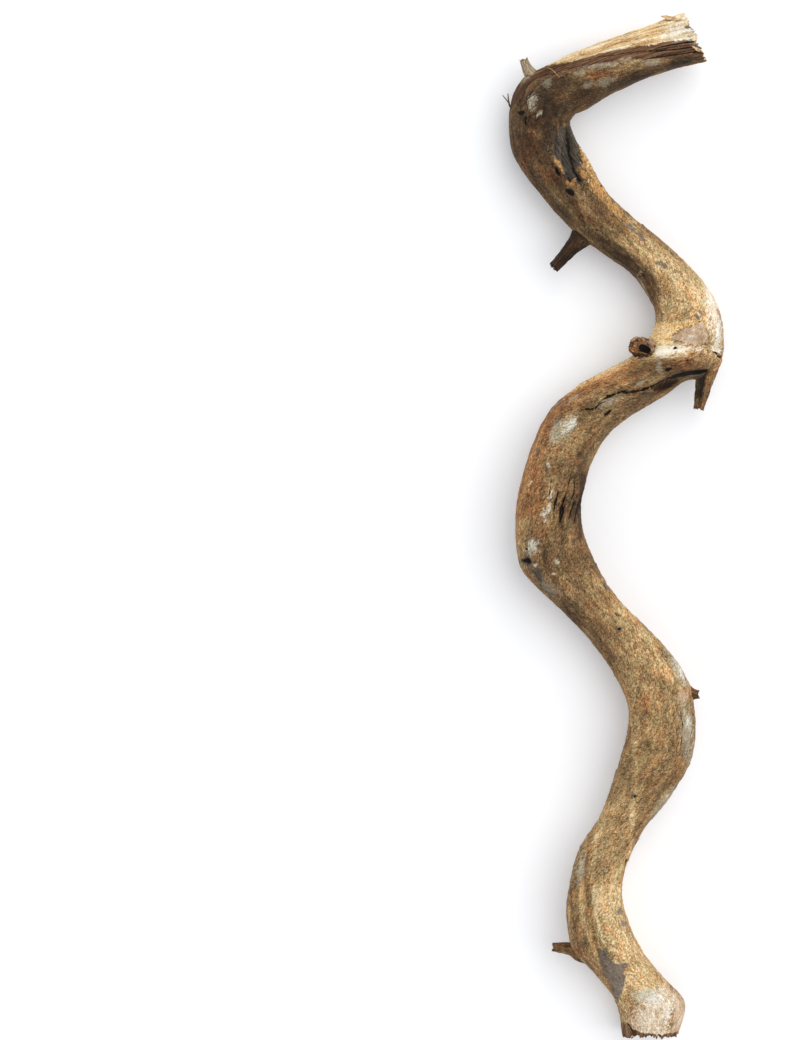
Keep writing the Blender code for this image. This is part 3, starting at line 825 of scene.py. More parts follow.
# Rows joined by cubic curves: between two knots the curve is blended from the rows and the slopes there
# by the cubic polynomials of Hermite
def readCurve(rows, knots, places):
    slopes = np.gradient(rows, knots, axis=0)
    first = np.clip(np.searchsorted(knots, places, side="right") - 1, 0, len(knots) - 2)
    width = (knots[first + 1] - knots[first])[:, None]
    t = (places - knots[first])[:, None] / width
    return (
        (2 * t**3 - 3 * t**2 + 1) * rows[first]
        + (t**3 - 2 * t**2 + t) * width * slopes[first]
        + (3 * t**2 - 2 * t**3) * rows[first + 1]
        + (t**3 - t**2) * width * slopes[first + 1]
    )


# A path read at places that lie evenly between its rows
def smoothPath(path, count):
    rows = np.array(path, dtype=float)
    return readCurve(rows, np.arange(len(rows), dtype=float), np.linspace(0, len(rows) - 1, count))


# The stem's rows read at sections that lie evenly along it, and its length
def smoothSections(rows, count):
    rows = np.array(rows, dtype=float)
    steps = np.linalg.norm(np.diff((rows[:, 0:2] + rows[:, 2:4]) / 2, axis=0), axis=1)
    knots = np.concatenate(([0.0], np.cumsum(np.sqrt(steps))))
    fine = np.linspace(0, knots[-1], 12 * count)
    path = readCurve(rows, knots, fine)
    edges = [np.linalg.norm(np.diff(path[:, k : k + 2], axis=0), axis=1) for k in (0, 2)]
    length = np.concatenate(([0.0], np.cumsum(sum(edges) / 2)))
    return readCurve(rows, knots, np.interp(np.linspace(0, length[-1], count), length, fine)), length[-1]


# Depth of the forms of one side: depth * exp(-(distance / half width)^2), fading where it turns away
def formDepth(plan, facing, forms):
    depth = sum(deep * np.exp(-((pathDistance(plan, path) / half) ** 2)) for deep, half, path in forms)
    return depth * np.clip(1.6 * facing, 0, 1)


# Outward normals of a grid of points: the step along it crossed with the step round it
def gridNormals(points):
    along = np.gradient(points, axis=0)
    around = np.roll(points, -1, axis=1) - np.roll(points, 1, axis=1)
    return unit(np.cross(along, around))


# A broken end as rings from its rim to its middle. The rim runs out in teeth, which are peaks of
# noise round it, and fades back along the side. The wood inside lies a little deeper and is rough,
# by noise over its plane.
def brokenEnd(rings, outward, size, seed):
    rim = rings[0]
    middle = rim.mean(axis=0)
    angle = np.linspace(0, 2 * math.pi, len(rim), endpoint=False)
    circle = np.stack((np.cos(angle), np.sin(angle), np.zeros(len(rim))), axis=-1)
    teeth = np.abs(layeredNoise(circle * size["teeth"] + seed, seed, 3)) * 2.2  # peaks of about 1
    fade = np.linspace(1, 0, size["fadeRings"]) ** 1.5
    lift = (rim[:, 2] - middle[2]) / np.abs(rim[:, 2] - middle[2]).max()
    calm = 1 - size["calm"] * np.clip(np.cos(angle), 0, 1)
    push = size["splinter"] * np.clip(teeth, 0, 1) * calm - size["slope"] * np.clip(lift, 0, 1)
    rings[: size["fadeRings"]] += outward * (fade[:, None] * push)[..., None]
    rim = rings[0]
    shares = np.array(size["shares"])[:, None]
    flat = middle + (rim - middle) * shares[..., None]
    rough = layeredNoise(flat * size["fineness"], seed + 5, 4) * size["roughness"] * (1 - shares**6)
    deep = size["hollow"] * (1 - shares**4) * (0.6 + 0.9 * layeredNoise(flat * 0.12, seed + 9, 2))
    inner = flat + outward * (rough - deep)[..., None]
    return inner, inner[-1].mean(axis=0), flat


capShares = (0.97, 0.93, 0.88, 0.82, 0.76, 0.69, 0.62, 0.54, 0.46, 0.38, 0.30, 0.22, 0.14, 0.07)
tornEnd = {
    "splinter": 4.4, "teeth": 6.5, "calm": 0.8, "slope": 4, "hollow": 2.6, "fineness": 0.45, "roughness": 2.2,
    "fadeRings": 6, "shares": capShares,
}
brokenFoot = {
    "splinter": 3.4, "teeth": 7.5, "calm": 0, "slope": 2, "hollow": 2.4, "fineness": 0.5, "roughness": 2.2,
    "fadeRings": 4, "shares": capShares,
}

# Collars that the stem raises round its twigs: place, height and reach
collars = (
    (-60, 331, 27, 2.4, 8),
    (-24, 219, 23, 2.2, 10),
    (33, 134, 40, 1.6, 7),
    (67, 121, 26, 2.0, 9),
    (46, -126, 32, 2.8, 8),
    (-26, -319, 26, 2.2, 9),
)


# The side of the stem. A ring is an ellipse between its two edges, its underside and its top, swollen
# by the lobes and cut or raised by the forms of its two sides. On it stand, along the normal, long
# ridges, bark, collars, the lines and the edges of the marks.
def stemSide():
    sections, length = smoothSections(stem["sections"], stem["rings"])
    right, left = sections[:, None, 0:2], sections[:, None, 2:4]
    under, top = sections[:, None, 4], sections[:, None, 5]
    turn = np.linspace(0, 2 * math.pi, stem["sides"], endpoint=False)
    angle = turn + stem["crowding"] * np.cos(turn)
    way = np.linspace(0, 1, stem["rings"])[:, None]
    along = way * length + 0 * angle
    swell = 1 + 0 * along
    for number, high, turns in stem["lobes"]:
        swell += high * np.cos(number * angle + 2 * math.pi * turns * way)
    across, facing = np.cos(angle) + 0 * way, np.sin(angle) + 0 * way
    plan = (right + left) / 2 + (across * swell)[..., None] * (right - left) / 2
    up = (top + under) / 2 + (top - under) / 2 * facing * swell
    up -= formDepth(plan, facing, stem["upperForms"])
    up += formDepth(plan, -facing, stem["lowerForms"])
    base = np.dstack((plan, up))
    normal = gridNormals(base)

    radius = stem["grainRadius"]
    twist = angle + stem["grainTwist"] * along
    cross = angle + stem["crossTwist"] * along
    grain = np.dstack((radius * np.cos(twist), radius * np.sin(twist), along))
    slant = np.dstack((radius * np.cos(cross), radius * np.sin(cross), along))
    layer = {}
    for name, (cloth, wide, far, seed, count, high) in stem["noises"].items():
        cloth = grain if cloth == "grain" else slant
        layer[name] = layeredNoise(cloth * (wide, wide, far), seed, count) * high
    halfWidth = np.linalg.norm(right - left, axis=-1) / 2
    looks = stemLooks(plan, grain, layer, along, across, facing, halfWidth)

    torn = smoothStep(*stem["reliefEdge"], looks["bare"])
    strands = smoothStep(*stem["reliefEdge"], looks["fibre"])
    smooth = smoothStep(*stem["reliefEdge"], np.maximum(looks["scar"], looks["peel"]))
    height = (layer["ridges"] + layer["fibres"] * (1 + torn)) * (1 - 0.6 * smooth) + layer["swells"]
    height += layer["scabs"] * (1 - 0.6 * torn - 0.6 * strands - 0.75 * smooth)
    height += layer["ribs"] * (1.5 * torn + 1.1 * strands)
    for look, (high, low, full, wild) in stem["steps"].items():
        height += high * smoothStep(low, full, looks[look] + wild * layer["ragged"])
    for x, y, z, high, reach in collars:
        height += high * np.exp(-(np.linalg.norm(base - (x, y, z), axis=-1) / reach) ** 2)
    # crest: above zero on the ridges of the relief and below it in the grooves; it lightens ridges and
    # darkens grooves, partly as wear and partly as painted highlight and shade
    looks["crest"] = np.clip((height - layer["swells"] - 0.5 * layer["ridges"]) / 0.9, -1, 1)
    height -= stem["holeDepth"] * smoothStep(0.45, 0.9, looks["pit"])
    height += looks.pop("rise")
    points = base + normal * height[..., None]
    points[..., 2] = np.maximum(points[..., 2], 0)
    return points, {**looks, "grain": grain, "slant": slant}


# Strengths from 0 to 1 of everything that colours the stem; each mark's edge is at 0.5
def stemLooks(plan, grain, layer, along, across, facing, halfWidth):
    jag = layer["jag"]
    seen = np.clip(0.75 + 2.2 * facing, 0, 1)  # 1 on the upper side, down to 0 on the underside
    bend = [layeredNoise(grain * (0.22, 0.22, 0.18) + shift, 83, 3) for shift in (0, 11.3)]
    bent = plan + stem["bending"] * np.stack(bend, axis=-1)
    looks = {name: spotStrength(bent, spots) * seen for name, spots in marks.items()}
    lessBent = bent * 0.4 + plan * 0.6
    for look, softness, outline in patches.values():
        strength = (0.5 + (outlineDepth(lessBent, outline) + 0.7 * jag) / softness) * seen
        looks[look] = np.clip(np.maximum(looks.get(look, 0), strength), 0, 1)

    # the torn face and its band of fibres: how far inside their edges
    for look, (wild, *edges) in stem["torn"].items():
        upper, lower = (np.interp(along, stem["tornStations"], edge) for edge in edges)
        inside = (across - np.where(facing > 0, upper, lower)) * halfWidth
        strength = np.clip(0.5 + (inside + wild * jag) / stem["softness"], 0, 1)
        looks[look] = np.maximum(looks.get(look, 0), strength)

    # lines: their rise, their tone, which is partly painted highlight and shade, and the near-black painted
    # shade inside them; each runs out thin at its two ends
    looks["rise"] = np.zeros(along.shape)
    looks["tone"] = np.zeros(along.shape)
    dark = np.zeros(along.shape)
    for rise, half, jagged, tone, darkness, path in lines.values():
        distance = pathDistance(plan, path) + jag * jagged
        ends = np.minimum(*(np.linalg.norm(plan - np.array(path[k]), axis=-1) for k in (0, -1)))
        thin = half * (0.45 + 0.55 * smoothStep(0, 9, ends))
        shown = np.clip(2 * facing + 0.3, 0, 1)
        shape = np.exp(-((distance / thin) ** 2)) * shown
        looks["rise"] += rise * shape
        looks["tone"] += tone * shape
        edge = thin * (0.2 + 0.8 * darkness) - np.abs(distance)
        dark = np.maximum(dark, np.clip(0.5 + edge / 4, 0, 1) * shown * (darkness > 0))
    looks["crack"] = dark

    # the shaded flank darkens the tone, as painted shade; then patches of the sides and of the underside,
    # where noise takes the place of the marks
    looks["tone"] -= 0.15 * smoothStep(0.3, 0.7, looks.pop("shadedFlank"))
    for look, (share, low, high, ofStains, ofWashes) in stem["hiddenMarks"].items():
        strength = smoothStep(low, high, ofStains * layer["stains"] + ofWashes * layer["washes"])
        looks[look] = np.maximum(looks[look], (1 - seen) * share * strength)

    # the tone of those places: the bark's own, and painted light and shade
    for x, y, halfLength, half, turn, change in toneAndPaintedLight:
        looks["tone"] += change * smoothStep(0, 1, spotStrength(plan, ((x, y, halfLength, half, turn),)))
    return looks


# Numbers of a broken end, from those of the rim that it grows from: bare or fibrous wood, with dark
# places by noise
def endLooks(rim, flat, shares, kind, seed):
    shape = flat.shape[:2]
    looks = {look: np.zeros(shape) for look in rim if rim[look].ndim == 1}
    for look in ("grain", "slant"):
        looks[look] = np.repeat(rim[look][None], len(flat), 0)
        looks[look][..., 0:2] = looks[look][..., 0:2] * np.array(shares)[:, None, None]
    patch = layeredNoise(flat * 0.16, seed, 3)
    low, gain = (0.62, 0.5) if kind == "bare" else (0.35, 0.9)
    looks["bare"] = np.clip(low + patch * gain, 0, 1)
    looks["fibre"] = np.ones(shape)
    looks["tone"] = 0.12 * patch
    looks["pit"] = 0.62 * smoothStep(0.15, 0.6, layeredNoise(flat * 0.33, seed + 3, 3))
    looks["rust"] = smoothStep(-0.1, 0.5, -patch)
    return looks


def addStem(material):
    side, looks = stemSide()
    startWay = unit(side[0].mean(axis=0) - side[6].mean(axis=0))
    footWay = unit(side[-1].mean(axis=0) - side[-7].mean(axis=0))
    startRings, startMiddle, startFlat = brokenEnd(side, startWay, tornEnd, 5)
    footRings, footMiddle, footFlat = brokenEnd(side[::-1], footWay, brokenFoot, 9)
    rings = np.concatenate((startRings[::-1], side, footRings))
    rings[..., 2] = np.maximum(rings[..., 2], 0)
    ends = []
    for edge, flat, kind, seed in ((0, startFlat, "bare", 61), (-1, footFlat, "fibre", 67)):
        rim = {look: value[edge] for look, value in looks.items()}
        ends.append(endLooks(rim, flat, capShares, kind, seed))
    start, foot = ends
    whole = {look: np.concatenate((start[look][::-1], value, foot[look])) for look, value in looks.items()}
    piece = addPiece("lianaStem", rings, startMiddle, footMiddle, whole, material)
    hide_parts("liana")
    return side, looks


# Twigs: X, Y, Z and radius at points from the root inside the stem to the broken tip, how red and how
# dark each is, how dark its tip, and the hollow along one, painted dark as the shade inside it: angle,
# half width, depth and stretch
twigs = {
    "knobOfTheFirstBend": {
        "path": ((-56, 328, 25, 7), (-63, 337, 28, 5.2), (-67, 343, 30, 3.6), (-69, 348, 31, 2.9)),
        "rust": 0.0, "tone": 0.06, "tip": 0.4, "crust": 0.6,
    },
    "forkOfTheDescendingStem": {
        "path": (
            (-18, 226, 22, 12), (-25, 217.5, 22.5, 9), (-31.5, 210, 23, 6.2), (-38.5, 202, 25, 4.8),
            (-46, 194, 26, 4),
        ),
        # its dark tone is painted shade
        "rust": 0.3, "tone": -0.42, "tip": 0.8,
    },
    "twigUnderTheNode": {
        "path": (
            (69, 126, 25, 10), (68, 115, 25, 8.2), (66.3, 105, 25, 6.2), (64.6, 97, 25, 5.0),
            (62.8, 88, 24, 3.8),
        ),
        "rust": 0.3, "tone": -0.12, "tip": 0.35, "slit": (0.72, 0.8, 4.2, 0.16, 0.8),
    },
    "twigOfTheRightBulge": {
        "path": (
            (42, -125, 31, 11), (50, -126, 32, 8.8), (55, -126.6, 32, 6.2), (58.4, -126.8, 32, 3.9),
            (61, -126.8, 32, 3),
        ),
        "rust": 0.7, "tone": -0.22, "tip": 0.9,
    },
    "twigOfTheLowerBend": {
        "path": (
            (-18, -320, 26, 11), (-27, -320, 25, 8), (-33, -319, 24, 5.2), (-39, -318, 24, 4.0),
            (-46, -317.5, 24, 3.2),
        ),
        "rust": 0.4, "tone": -0.14, "tip": 0.8,
    },
}
twigFineness = {"rings": 70, "sides": 56, "bumps": 0.55, "ridges": 0.5}
brokenTip = {
    "splinter": 1.8, "teeth": 4.5, "calm": 0, "slope": 0.4, "hollow": 1.0, "fineness": 1.1, "roughness": 0.9,
    "fadeRings": 5, "shares": (0.92, 0.82, 0.7, 0.56, 0.42, 0.28, 0.14),
}


# Rings round a path: middle + radius * (cos * side + sin * up), with up as near to Z as it can be
def tubeRings(points, sides):
    middle, radius = points[:, None, 0:3], points[:, None, 3:4]
    ahead = unit(np.gradient(points[:, 0:3], axis=0))
    side = unit(np.cross(ahead, (0, 0, 1)))
    up = np.cross(side, ahead)
    angle = np.linspace(0, 2 * math.pi, sides, endpoint=False)[None, :, None]
    out = np.cos(angle) * side[:, None] + np.sin(angle) * up[:, None]
    return middle + radius * out, out, angle[..., 0], ahead


def addTwig(name, twig, seed, material):
    rings, sides = twigFineness["rings"], twigFineness["sides"]
    points = smoothPath(twig["path"], rings)
    skin, out, angle, ahead = tubeRings(points, sides)
    steps = np.linalg.norm(np.diff(points[:, 0:3], axis=0), axis=1)
    along = np.concatenate(([0.0], np.cumsum(steps)))[:, None] + 0 * angle
    radius = points[:, 3:4].mean() + 2
    circle = (radius * np.cos(angle) + 0 * along, radius * np.sin(angle) + 0 * along, along)
    grain = np.dstack(circle) + seed * 7.3
    bumps = layeredNoise(grain * (0.45, 0.45, 0.3), seed, 3) * twigFineness["bumps"]
    ridges = layeredNoise(grain * (0.8, 0.8, 0.06), seed + 3, 2) * twigFineness["ridges"]
    share = along / along.max()
    dark = np.zeros(share.shape)
    # the slit: cut into the twig and painted dark as the shade inside it
    if "slit" in twig:
        turn, half, depth, low, high = twig["slit"]
        inside = smoothStep(low - 0.1, low + 0.05, share) * (1 - smoothStep(high - 0.05, high + 0.05, share))
        dark = inside * np.exp(-(((angle - turn + 0.12 * bumps) / half) ** 4))
        skin = skin - out * (depth * dark)[..., None]
    skin = skin + out * (bumps + ridges)[..., None]
    tipRings, tipMiddle, flat = brokenEnd(skin[::-1], ahead[-1], brokenTip, seed)
    rows = np.concatenate((skin, tipRings))
    rows[..., 2] = np.maximum(rows[..., 2], 0)
    tipGrain = np.repeat(grain[-1:], len(tipRings), 0)
    tipGrain[..., 0:2] *= np.array(brokenTip["shares"])[:, None, None]
    noise = layeredNoise(flat * 0.6, seed + 7, 3)
    end = smoothStep(0.9, 1.0, share)
    numbers = {  # of the bark and of the broken tip
        "tone": (twig["tone"] - 0.25 * dark, twig["tone"] / 2),
        "rust": (np.clip(twig["rust"] + 0.5 * end, 0, 1), 0.8),
        "crust": (twig.get("crust", 0.15), 0),
        "fibre": (0.45 * end, 1),
        "bare": (0, np.clip(0.35 + noise, 0, 1)),
        "pit": (0.42 * dark, twig["tip"] * smoothStep(-0.3, 0.5, noise)),
        "grey": (0.7 * dark, 0),
        "crest": (np.clip((bumps + ridges) / 0.6, -1, 1), 0),
    }
    blank, blankTip = np.zeros(skin.shape[:2]), np.zeros(tipRings.shape[:2])
    looks = {}
    for look, (onBark, onTip) in numbers.items():
        looks[look] = np.concatenate((onBark + blank, onTip + blankTip))
    looks["grain"] = looks["slant"] = np.concatenate((grain, tipGrain))
    return addPiece(name, rows, skin[0].mean(axis=0), tipMiddle, looks, material)


# The knot of curled bark by the node: a lump turned round an upright axis, from the bottom of its
# hollow over a thick lip and round to its underside, with its radius and lip uneven round it
knot = {
    "middle": (18.8, 132.2),
    "stretch": (1.16, 0.92),
    "lean": -14,  # of its long side, in degrees
    "profile": (  # radius and height
        (0.9, 43.5), (1.8, 43.6), (2.5, 44), (2.9, 44.7), (3.6, 45.7), (4.9, 46.7), (6.3, 47),
        (7.5, 46), (8.3, 43), (8.5, 39), (8.1, 35), (7.2, 31.5), (5.6, 29.6), (3.4, 28.6), (1.4, 28.2),
    ),
    "rings": 60,
    "sides": 90,
    "lumps": 2.4,  # how far it swells in and out and up and down, in mm
    "lift": 2.2,
    "roughness": 1.1,
    "tilt": 1.1,  # how much higher its lip stands on the side that tiltTurn, in radians, points to
    "tiltTurn": 1.9,
    "hole": (1.3, -1.1),  # how far its hole stands off its middle
}


def addKnot(material):
    profile = smoothPath(knot["profile"], knot["rings"])
    angle = np.linspace(0, 2 * math.pi, knot["sides"], endpoint=False)[None]
    circle = np.dstack((np.cos(angle), np.sin(angle), 0 * angle))
    radius, height = profile[:, 0:1] + 0 * angle, profile[:, 1:2] + 0 * angle
    grain = circle * radius[..., None] + (0, 0, 1) * height[..., None]
    outer = smoothStep(2.5, 6, radius)
    lumps = layeredNoise(grain * 0.22, 211, 3)
    rough = layeredNoise(grain * 0.75, 223, 3)
    tilted = np.cos(angle - knot["tiltTurn"])
    off = 1 - smoothStep(2.5, 8, radius)
    inside = (radius < 3.6) & (np.arange(knot["rings"])[:, None] < knot["rings"] / 2)
    radius = radius + outer * (lumps * knot["lumps"] + rough * knot["roughness"])
    radius = radius + 0.7 * np.cos(2 * angle + 0.6) * (1 - outer)
    lift = lumps * knot["lift"] + rough * 0.9 + knot["tilt"] * tilted
    height = height + smoothStep(36, 41, height) * lift
    lean = math.radians(knot["lean"])
    x, y = radius * np.cos(angle) * knot["stretch"][0], radius * np.sin(angle) * knot["stretch"][1]
    points = np.dstack((
        knot["middle"][0] + x * math.cos(lean) - y * math.sin(lean) + off * knot["hole"][0],
        knot["middle"][1] + x * math.sin(lean) + y * math.cos(lean) + off * knot["hole"][1],
        height,
    ))
    looks = {
        # lighter where the lip stands higher: painted highlight
        "tone": -0.22 + 0.35 * np.clip(rough, -0.3, 0.3) + 0.10 * tilted * outer,
        "rust": np.clip(0.8 + lumps, 0, 1),
        "scar": np.clip(0.42 + 1.4 * lumps * outer, 0, 1) * (np.sin(angle) > -0.2),
        # the inside of the hole painted near black: painted shade
        "pit": np.where(inside, 0.9, 0.55 * smoothStep(0.15, 0.6, -rough)),
        "crest": np.clip(rough * 1.6, -1, 1),
        "grain": grain,
        "slant": grain,
    }
    return addPiece("curledKnot", points, points[0].mean(axis=0), points[-1].mean(axis=0), looks, material)


# Slivers

# Where along a sliver its rings stand and how thick it is there, how far it bends and how flat it is
sliverShape = {"places": (0, 0.3, 0.62, 0.85), "girths": (0.8, 1, 0.75, 0.4), "bow": 0.12, "flatness": 0.6}


# Slivers of wood, each a four-sided spike that is thickest a third of the way out and bends a
# little: root + way * length * place, with a ring of half width * girth round it
def addSlivers(name, roots, ways, lengths, widths, looks, seed, material):
    draw = np.random.default_rng(seed)
    count = len(roots)
    right = unit(np.cross(ways, draw.normal(size=(count, 3))))
    up = np.cross(right, ways)
    corner = np.linspace(0, 2 * math.pi, 4, endpoint=False)[None, :, None]
    ring = np.cos(corner) * right[:, None] + sliverShape["flatness"] * np.sin(corner) * up[:, None]
    bow = draw.uniform(-sliverShape["bow"], sliverShape["bow"], (count, 1)) * lengths[:, None] * right
    rings = []
    for place, girth in zip(sliverShape["places"], sliverShape["girths"]):
        middle = roots + ways * (place * lengths[:, None]) + bow * place**2
        rings.append(middle[:, None] + ring * (girth * widths[:, None, None]))
    rings = np.stack(rings, axis=1)
    shape = rings.shape[:3]
    full = {look: np.broadcast_to(value[:, None, None], shape) for look, value in looks.items()}
    far = np.array(sliverShape["places"])[None, :, None] * lengths[:, None, None] + 0 * corner[..., 0]
    around = corner[..., 0] * 0.7 + 0 * far
    full["grain"] = np.stack((around, 0 * far, far), axis=-1) + roots[:, None, None] * 3
    full["slant"] = full["grain"]
    return addPieces(name, rings, roots, roots + ways * lengths[:, None] + bow, full, material, False)


splinters = {
    "tornRim": 70, "tornFace": 30, "footRim": 22, "length": (1.2, 3.2), "width": (0.5, 1.3),
    "faceLength": (5, 15), "faceWidth": (0.2, 0.4), "lift": 0.12,
    "rootShare": (0.35, 0.98),  # how far out from the middle of the end they stand, before a square root
    "rootDepth": 1.5,  # in mm
    "spread": 0.14,
}


def addSplinters(side, bare, material):
    draw = np.random.default_rng(301)
    for name, edge, inner, count, pale, tone in (
        ("tornSplinters", 0, 8, splinters["tornRim"], 0.8, 0.06),
        ("footSplinters", -1, -9, splinters["footRim"], 0.36, -0.12),
    ):
        out = unit(side[edge].mean(axis=0) - side[inner].mean(axis=0))
        column = draw.integers(0, stem["sides"], count)
        middle = side[edge].mean(axis=0)
        share = np.sqrt(draw.uniform(*splinters["rootShare"], count))[:, None]
        roots = middle + (side[edge, column] - middle) * share - out * splinters["rootDepth"]
        roots[:, 2] = np.maximum(roots[:, 2], 1.5)
        ways = unit(out + draw.normal(size=(count, 3)) * splinters["spread"])
        ways[:, 2] = np.where(roots[:, 2] < 6, np.abs(ways[:, 2]), ways[:, 2])
        lengths, widths = draw.uniform(*splinters["length"], count), draw.uniform(*splinters["width"], count)
        looks = {
            "bare": np.where(draw.uniform(size=count) < pale, 1.0, 0.0), "fibre": np.ones(count),
            "tone": tone + draw.uniform(-0.2, 0.2, count), "rust": draw.uniform(0, 1, count),
        }
        addSlivers(name, roots, ways, lengths, widths, looks, 307, material)

    # lifted fibres of the torn face
    count = splinters["tornFace"]
    places = np.argwhere(bare[2:60] > 0.62)
    row, column = places[draw.integers(0, len(places), count)].T + ((2,), (0,))
    normal = gridNormals(side)[row, column]
    way = np.where(draw.uniform(size=count) < 0.5, 1, -1)[:, None]
    along = unit(side[row + 2, column] - side[row, column]) * way
    ways = unit(along + normal * draw.uniform(0.2, 1.2, count)[:, None] * splinters["lift"])
    roots = side[row, column] - ways * 1.2 - normal * 0.2
    lengths = draw.uniform(*splinters["faceLength"], count)
    widths = draw.uniform(*splinters["faceWidth"], count)
    looks = {
        "bare": np.ones(count), "tone": draw.uniform(-0.25, 0.1, count), "fibre": np.zeros(count),
        "rust": draw.uniform(0, 1, count),
    }
    addSlivers("liftedFibres", roots, ways, lengths, widths, looks, 311, material)


# Flakes

# Points and normals of the stem between its grid's rows and columns
def readSide(side, normals, row, column):
    row = np.clip(row, 0, len(side) - 1.001)
    low, left = np.floor(row).astype(int), np.floor(column).astype(int)
    t, s = (row - low)[..., None], (column - left)[..., None]
    left, right = left % side.shape[1], (left + 1) % side.shape[1]
    read = []
    for grid in (side, normals):
        near = grid[low, left] * (1 - s) + grid[low, right] * s
        far = grid[low + 1, left] * (1 - s) + grid[low + 1, right] * s
        read.append(near * (1 - t) + far * t)
    return read[0], unit(read[1])


# Thin flakes that follow the stem: rings out over the top of each and back under it. The height
# grows from the root to the far edge, by its lift times the square of the way there.
flakeRings = {"reach": (0.35, 0.7, 1.0, 0.7, 0.35), "thickness": (0.30, 0.28, 0.12, 0.0, 0.0), "sides": 14}


def addFlakes(name, side, rows, columns, sizes, turns, lifts, looks, seed, material):
    draw = np.random.default_rng(seed)
    normals = gridNormals(side)
    count, sides = len(rows), flakeRings["sides"]
    angle = np.linspace(0, 2 * math.pi, sides, endpoint=False)[None, None]
    ragged = 1 + 0.28 * draw.uniform(-1, 1, (count, 1, sides))
    reach = np.array(flakeRings["reach"])[None, :, None] * ragged
    out = np.array(flakeRings["thickness"])[None, :, None]
    size, turn = sizes[:, None, None, :], turns[:, None, None]
    u, v = reach * np.cos(angle) * size[..., 0], reach * np.sin(angle) * size[..., 1]
    du, dv = u * np.cos(turn) - v * np.sin(turn), u * np.sin(turn) + v * np.cos(turn)
    low, left = rows.astype(int), columns.astype(int)
    after = np.minimum(low + 1, len(side) - 1)
    rowStep = np.linalg.norm(side[after, left] - side[low - 1, left], axis=-1) / 2
    nextColumn = (left + 1) % side.shape[1]
    columnStep = np.linalg.norm(side[low, nextColumn] - side[low, left], axis=-1)
    row = rows[:, None, None] + du / np.maximum(rowStep, 0.4)[:, None, None]
    column = columns[:, None, None] + dv / np.maximum(columnStep, 0.4)[:, None, None]
    points, normal = readSide(side, normals, row, column)
    away = ((u / size[..., 0] + 1) / 2) ** 2
    height = -0.15 + out + lifts[:, None, None] * away
    rings = points + normal * height[..., None]
    rings[..., 2] = np.maximum(rings[..., 2], 0.05)
    shape = rings.shape[:3]
    full = {look: np.broadcast_to(value[:, None, None], shape) for look, value in looks.items()}
    full["grain"] = np.stack((du, dv, row * 1.5), axis=-1) + rings * 0.6
    full["slant"] = full["grain"]
    starts, ends = rings[:, 0].mean(axis=1), rings[:, -1].mean(axis=1)
    return addPieces(name, rings, starts, ends, full, material)


flakes = {"count": 220, "length": (1.2, 3.6), "narrow": (0.35, 0.8), "lift": (0.2, 0.9)}


def addBarkFlakes(side, looks, material):
    draw = np.random.default_rng(401)
    count = flakes["count"]
    marked = looks["grey"] + looks["pit"] + looks["gold"] + looks["scar"] + looks["peel"]
    places = np.argwhere(marked[70 : stem["rings"] - 12] < 0.3)
    rows, columns = (places[draw.integers(0, len(places), count)].T + ((70.5,), (0.5,))).astype(float)
    length = draw.uniform(*flakes["length"], count)
    sizes = np.stack((length, length * draw.uniform(*flakes["narrow"], count)), axis=-1)
    turns = draw.normal(0, 0.5, count) + math.pi * (draw.uniform(size=count) < 0.5)
    chosen = {
        "tone": looks["tone"][rows.astype(int), columns.astype(int)] + draw.uniform(-0.10, 0.10, count),
        "rust": draw.uniform(0, 0.6, count), "gold": draw.uniform(0, 0.55, count),
        "crust": draw.uniform(0, 0.5, count),
    }
    lifts = draw.uniform(*flakes["lift"], count)
    addFlakes("barkFlakes", side, rows, columns, sizes, turns, lifts, chosen, 409, material)


# The bigger flakes: plan place, half length, half width, the way that the far edge points in degrees,
# lift and looks
bigFlakes = {
    "flakeOfTheNode": (73, 131.3, 7.4, 2.3, -26, 2.2, {"cream": 1.0, "tone": 0.35}),
    "flakeOfTheTornEnd": (41.5, 377.6, 7, 2.3, 170, 4.4, {"bare": 1.0, "tone": -0.14}),
    "splinterOfTheTornEnd": (59, 363, 6.5, 2.0, -50, 2.6, {"bare": 1.0, "tone": 0.12}),
    "secondSplinterOfTheTornEnd": (63, 357.5, 5.5, 1.5, -38, 2.0, {"bare": 1.0, "tone": 0.05}),
    "flakeOfTheHollow": (-33, 256, 4.5, 2.0, 60, 1.6, {"gold": 0.9, "tone": -0.05}),
    "secondFlakeOfTheHollow": (-26, 262, 4.0, 1.6, 110, 1.4, {"gold": 0.9, "tone": -0.05}),
    "flakeOfThePeel": (8, -331, 4.2, 1.6, 170, 1.6, {"gold": 0.9, "tone": 0.0}),
}


# The grid place on the upper side that is nearest to a plan place, and the turn that points a flake
# the given way in plan
def addBigFlakes(side, material):
    middle = side.mean(axis=1)[:, None, 2]
    for number, (name, (x, y, length, width, heading, lift, looks)) in enumerate(bigFlakes.items()):
        away = np.hypot(side[..., 0] - x, side[..., 1] - y) + 100 * (side[..., 2] < middle - 2)
        row, column = np.unravel_index(np.argmin(away), away.shape)
        row = min(max(row, 2), len(side) - 3)
        along = unit(side[row + 1, column, 0:2] - side[row - 1, column, 0:2])
        around = unit(side[row, (column + 1) % stem["sides"], 0:2] - side[row, column - 1, 0:2])
        want = np.array((math.cos(math.radians(heading)), math.sin(math.radians(heading))))
        turn = math.atan2(float(want @ around), float(want @ along))
        looks = {look: np.array((value,)) for look, value in looks.items()}
        addFlakes(
            name, side, np.array((row + 0.0,)), np.array((column + 0.0,)), np.array(((length, width),)),
            np.array((turn,)), np.array((lift,)), looks, 431 + number, material,
        )


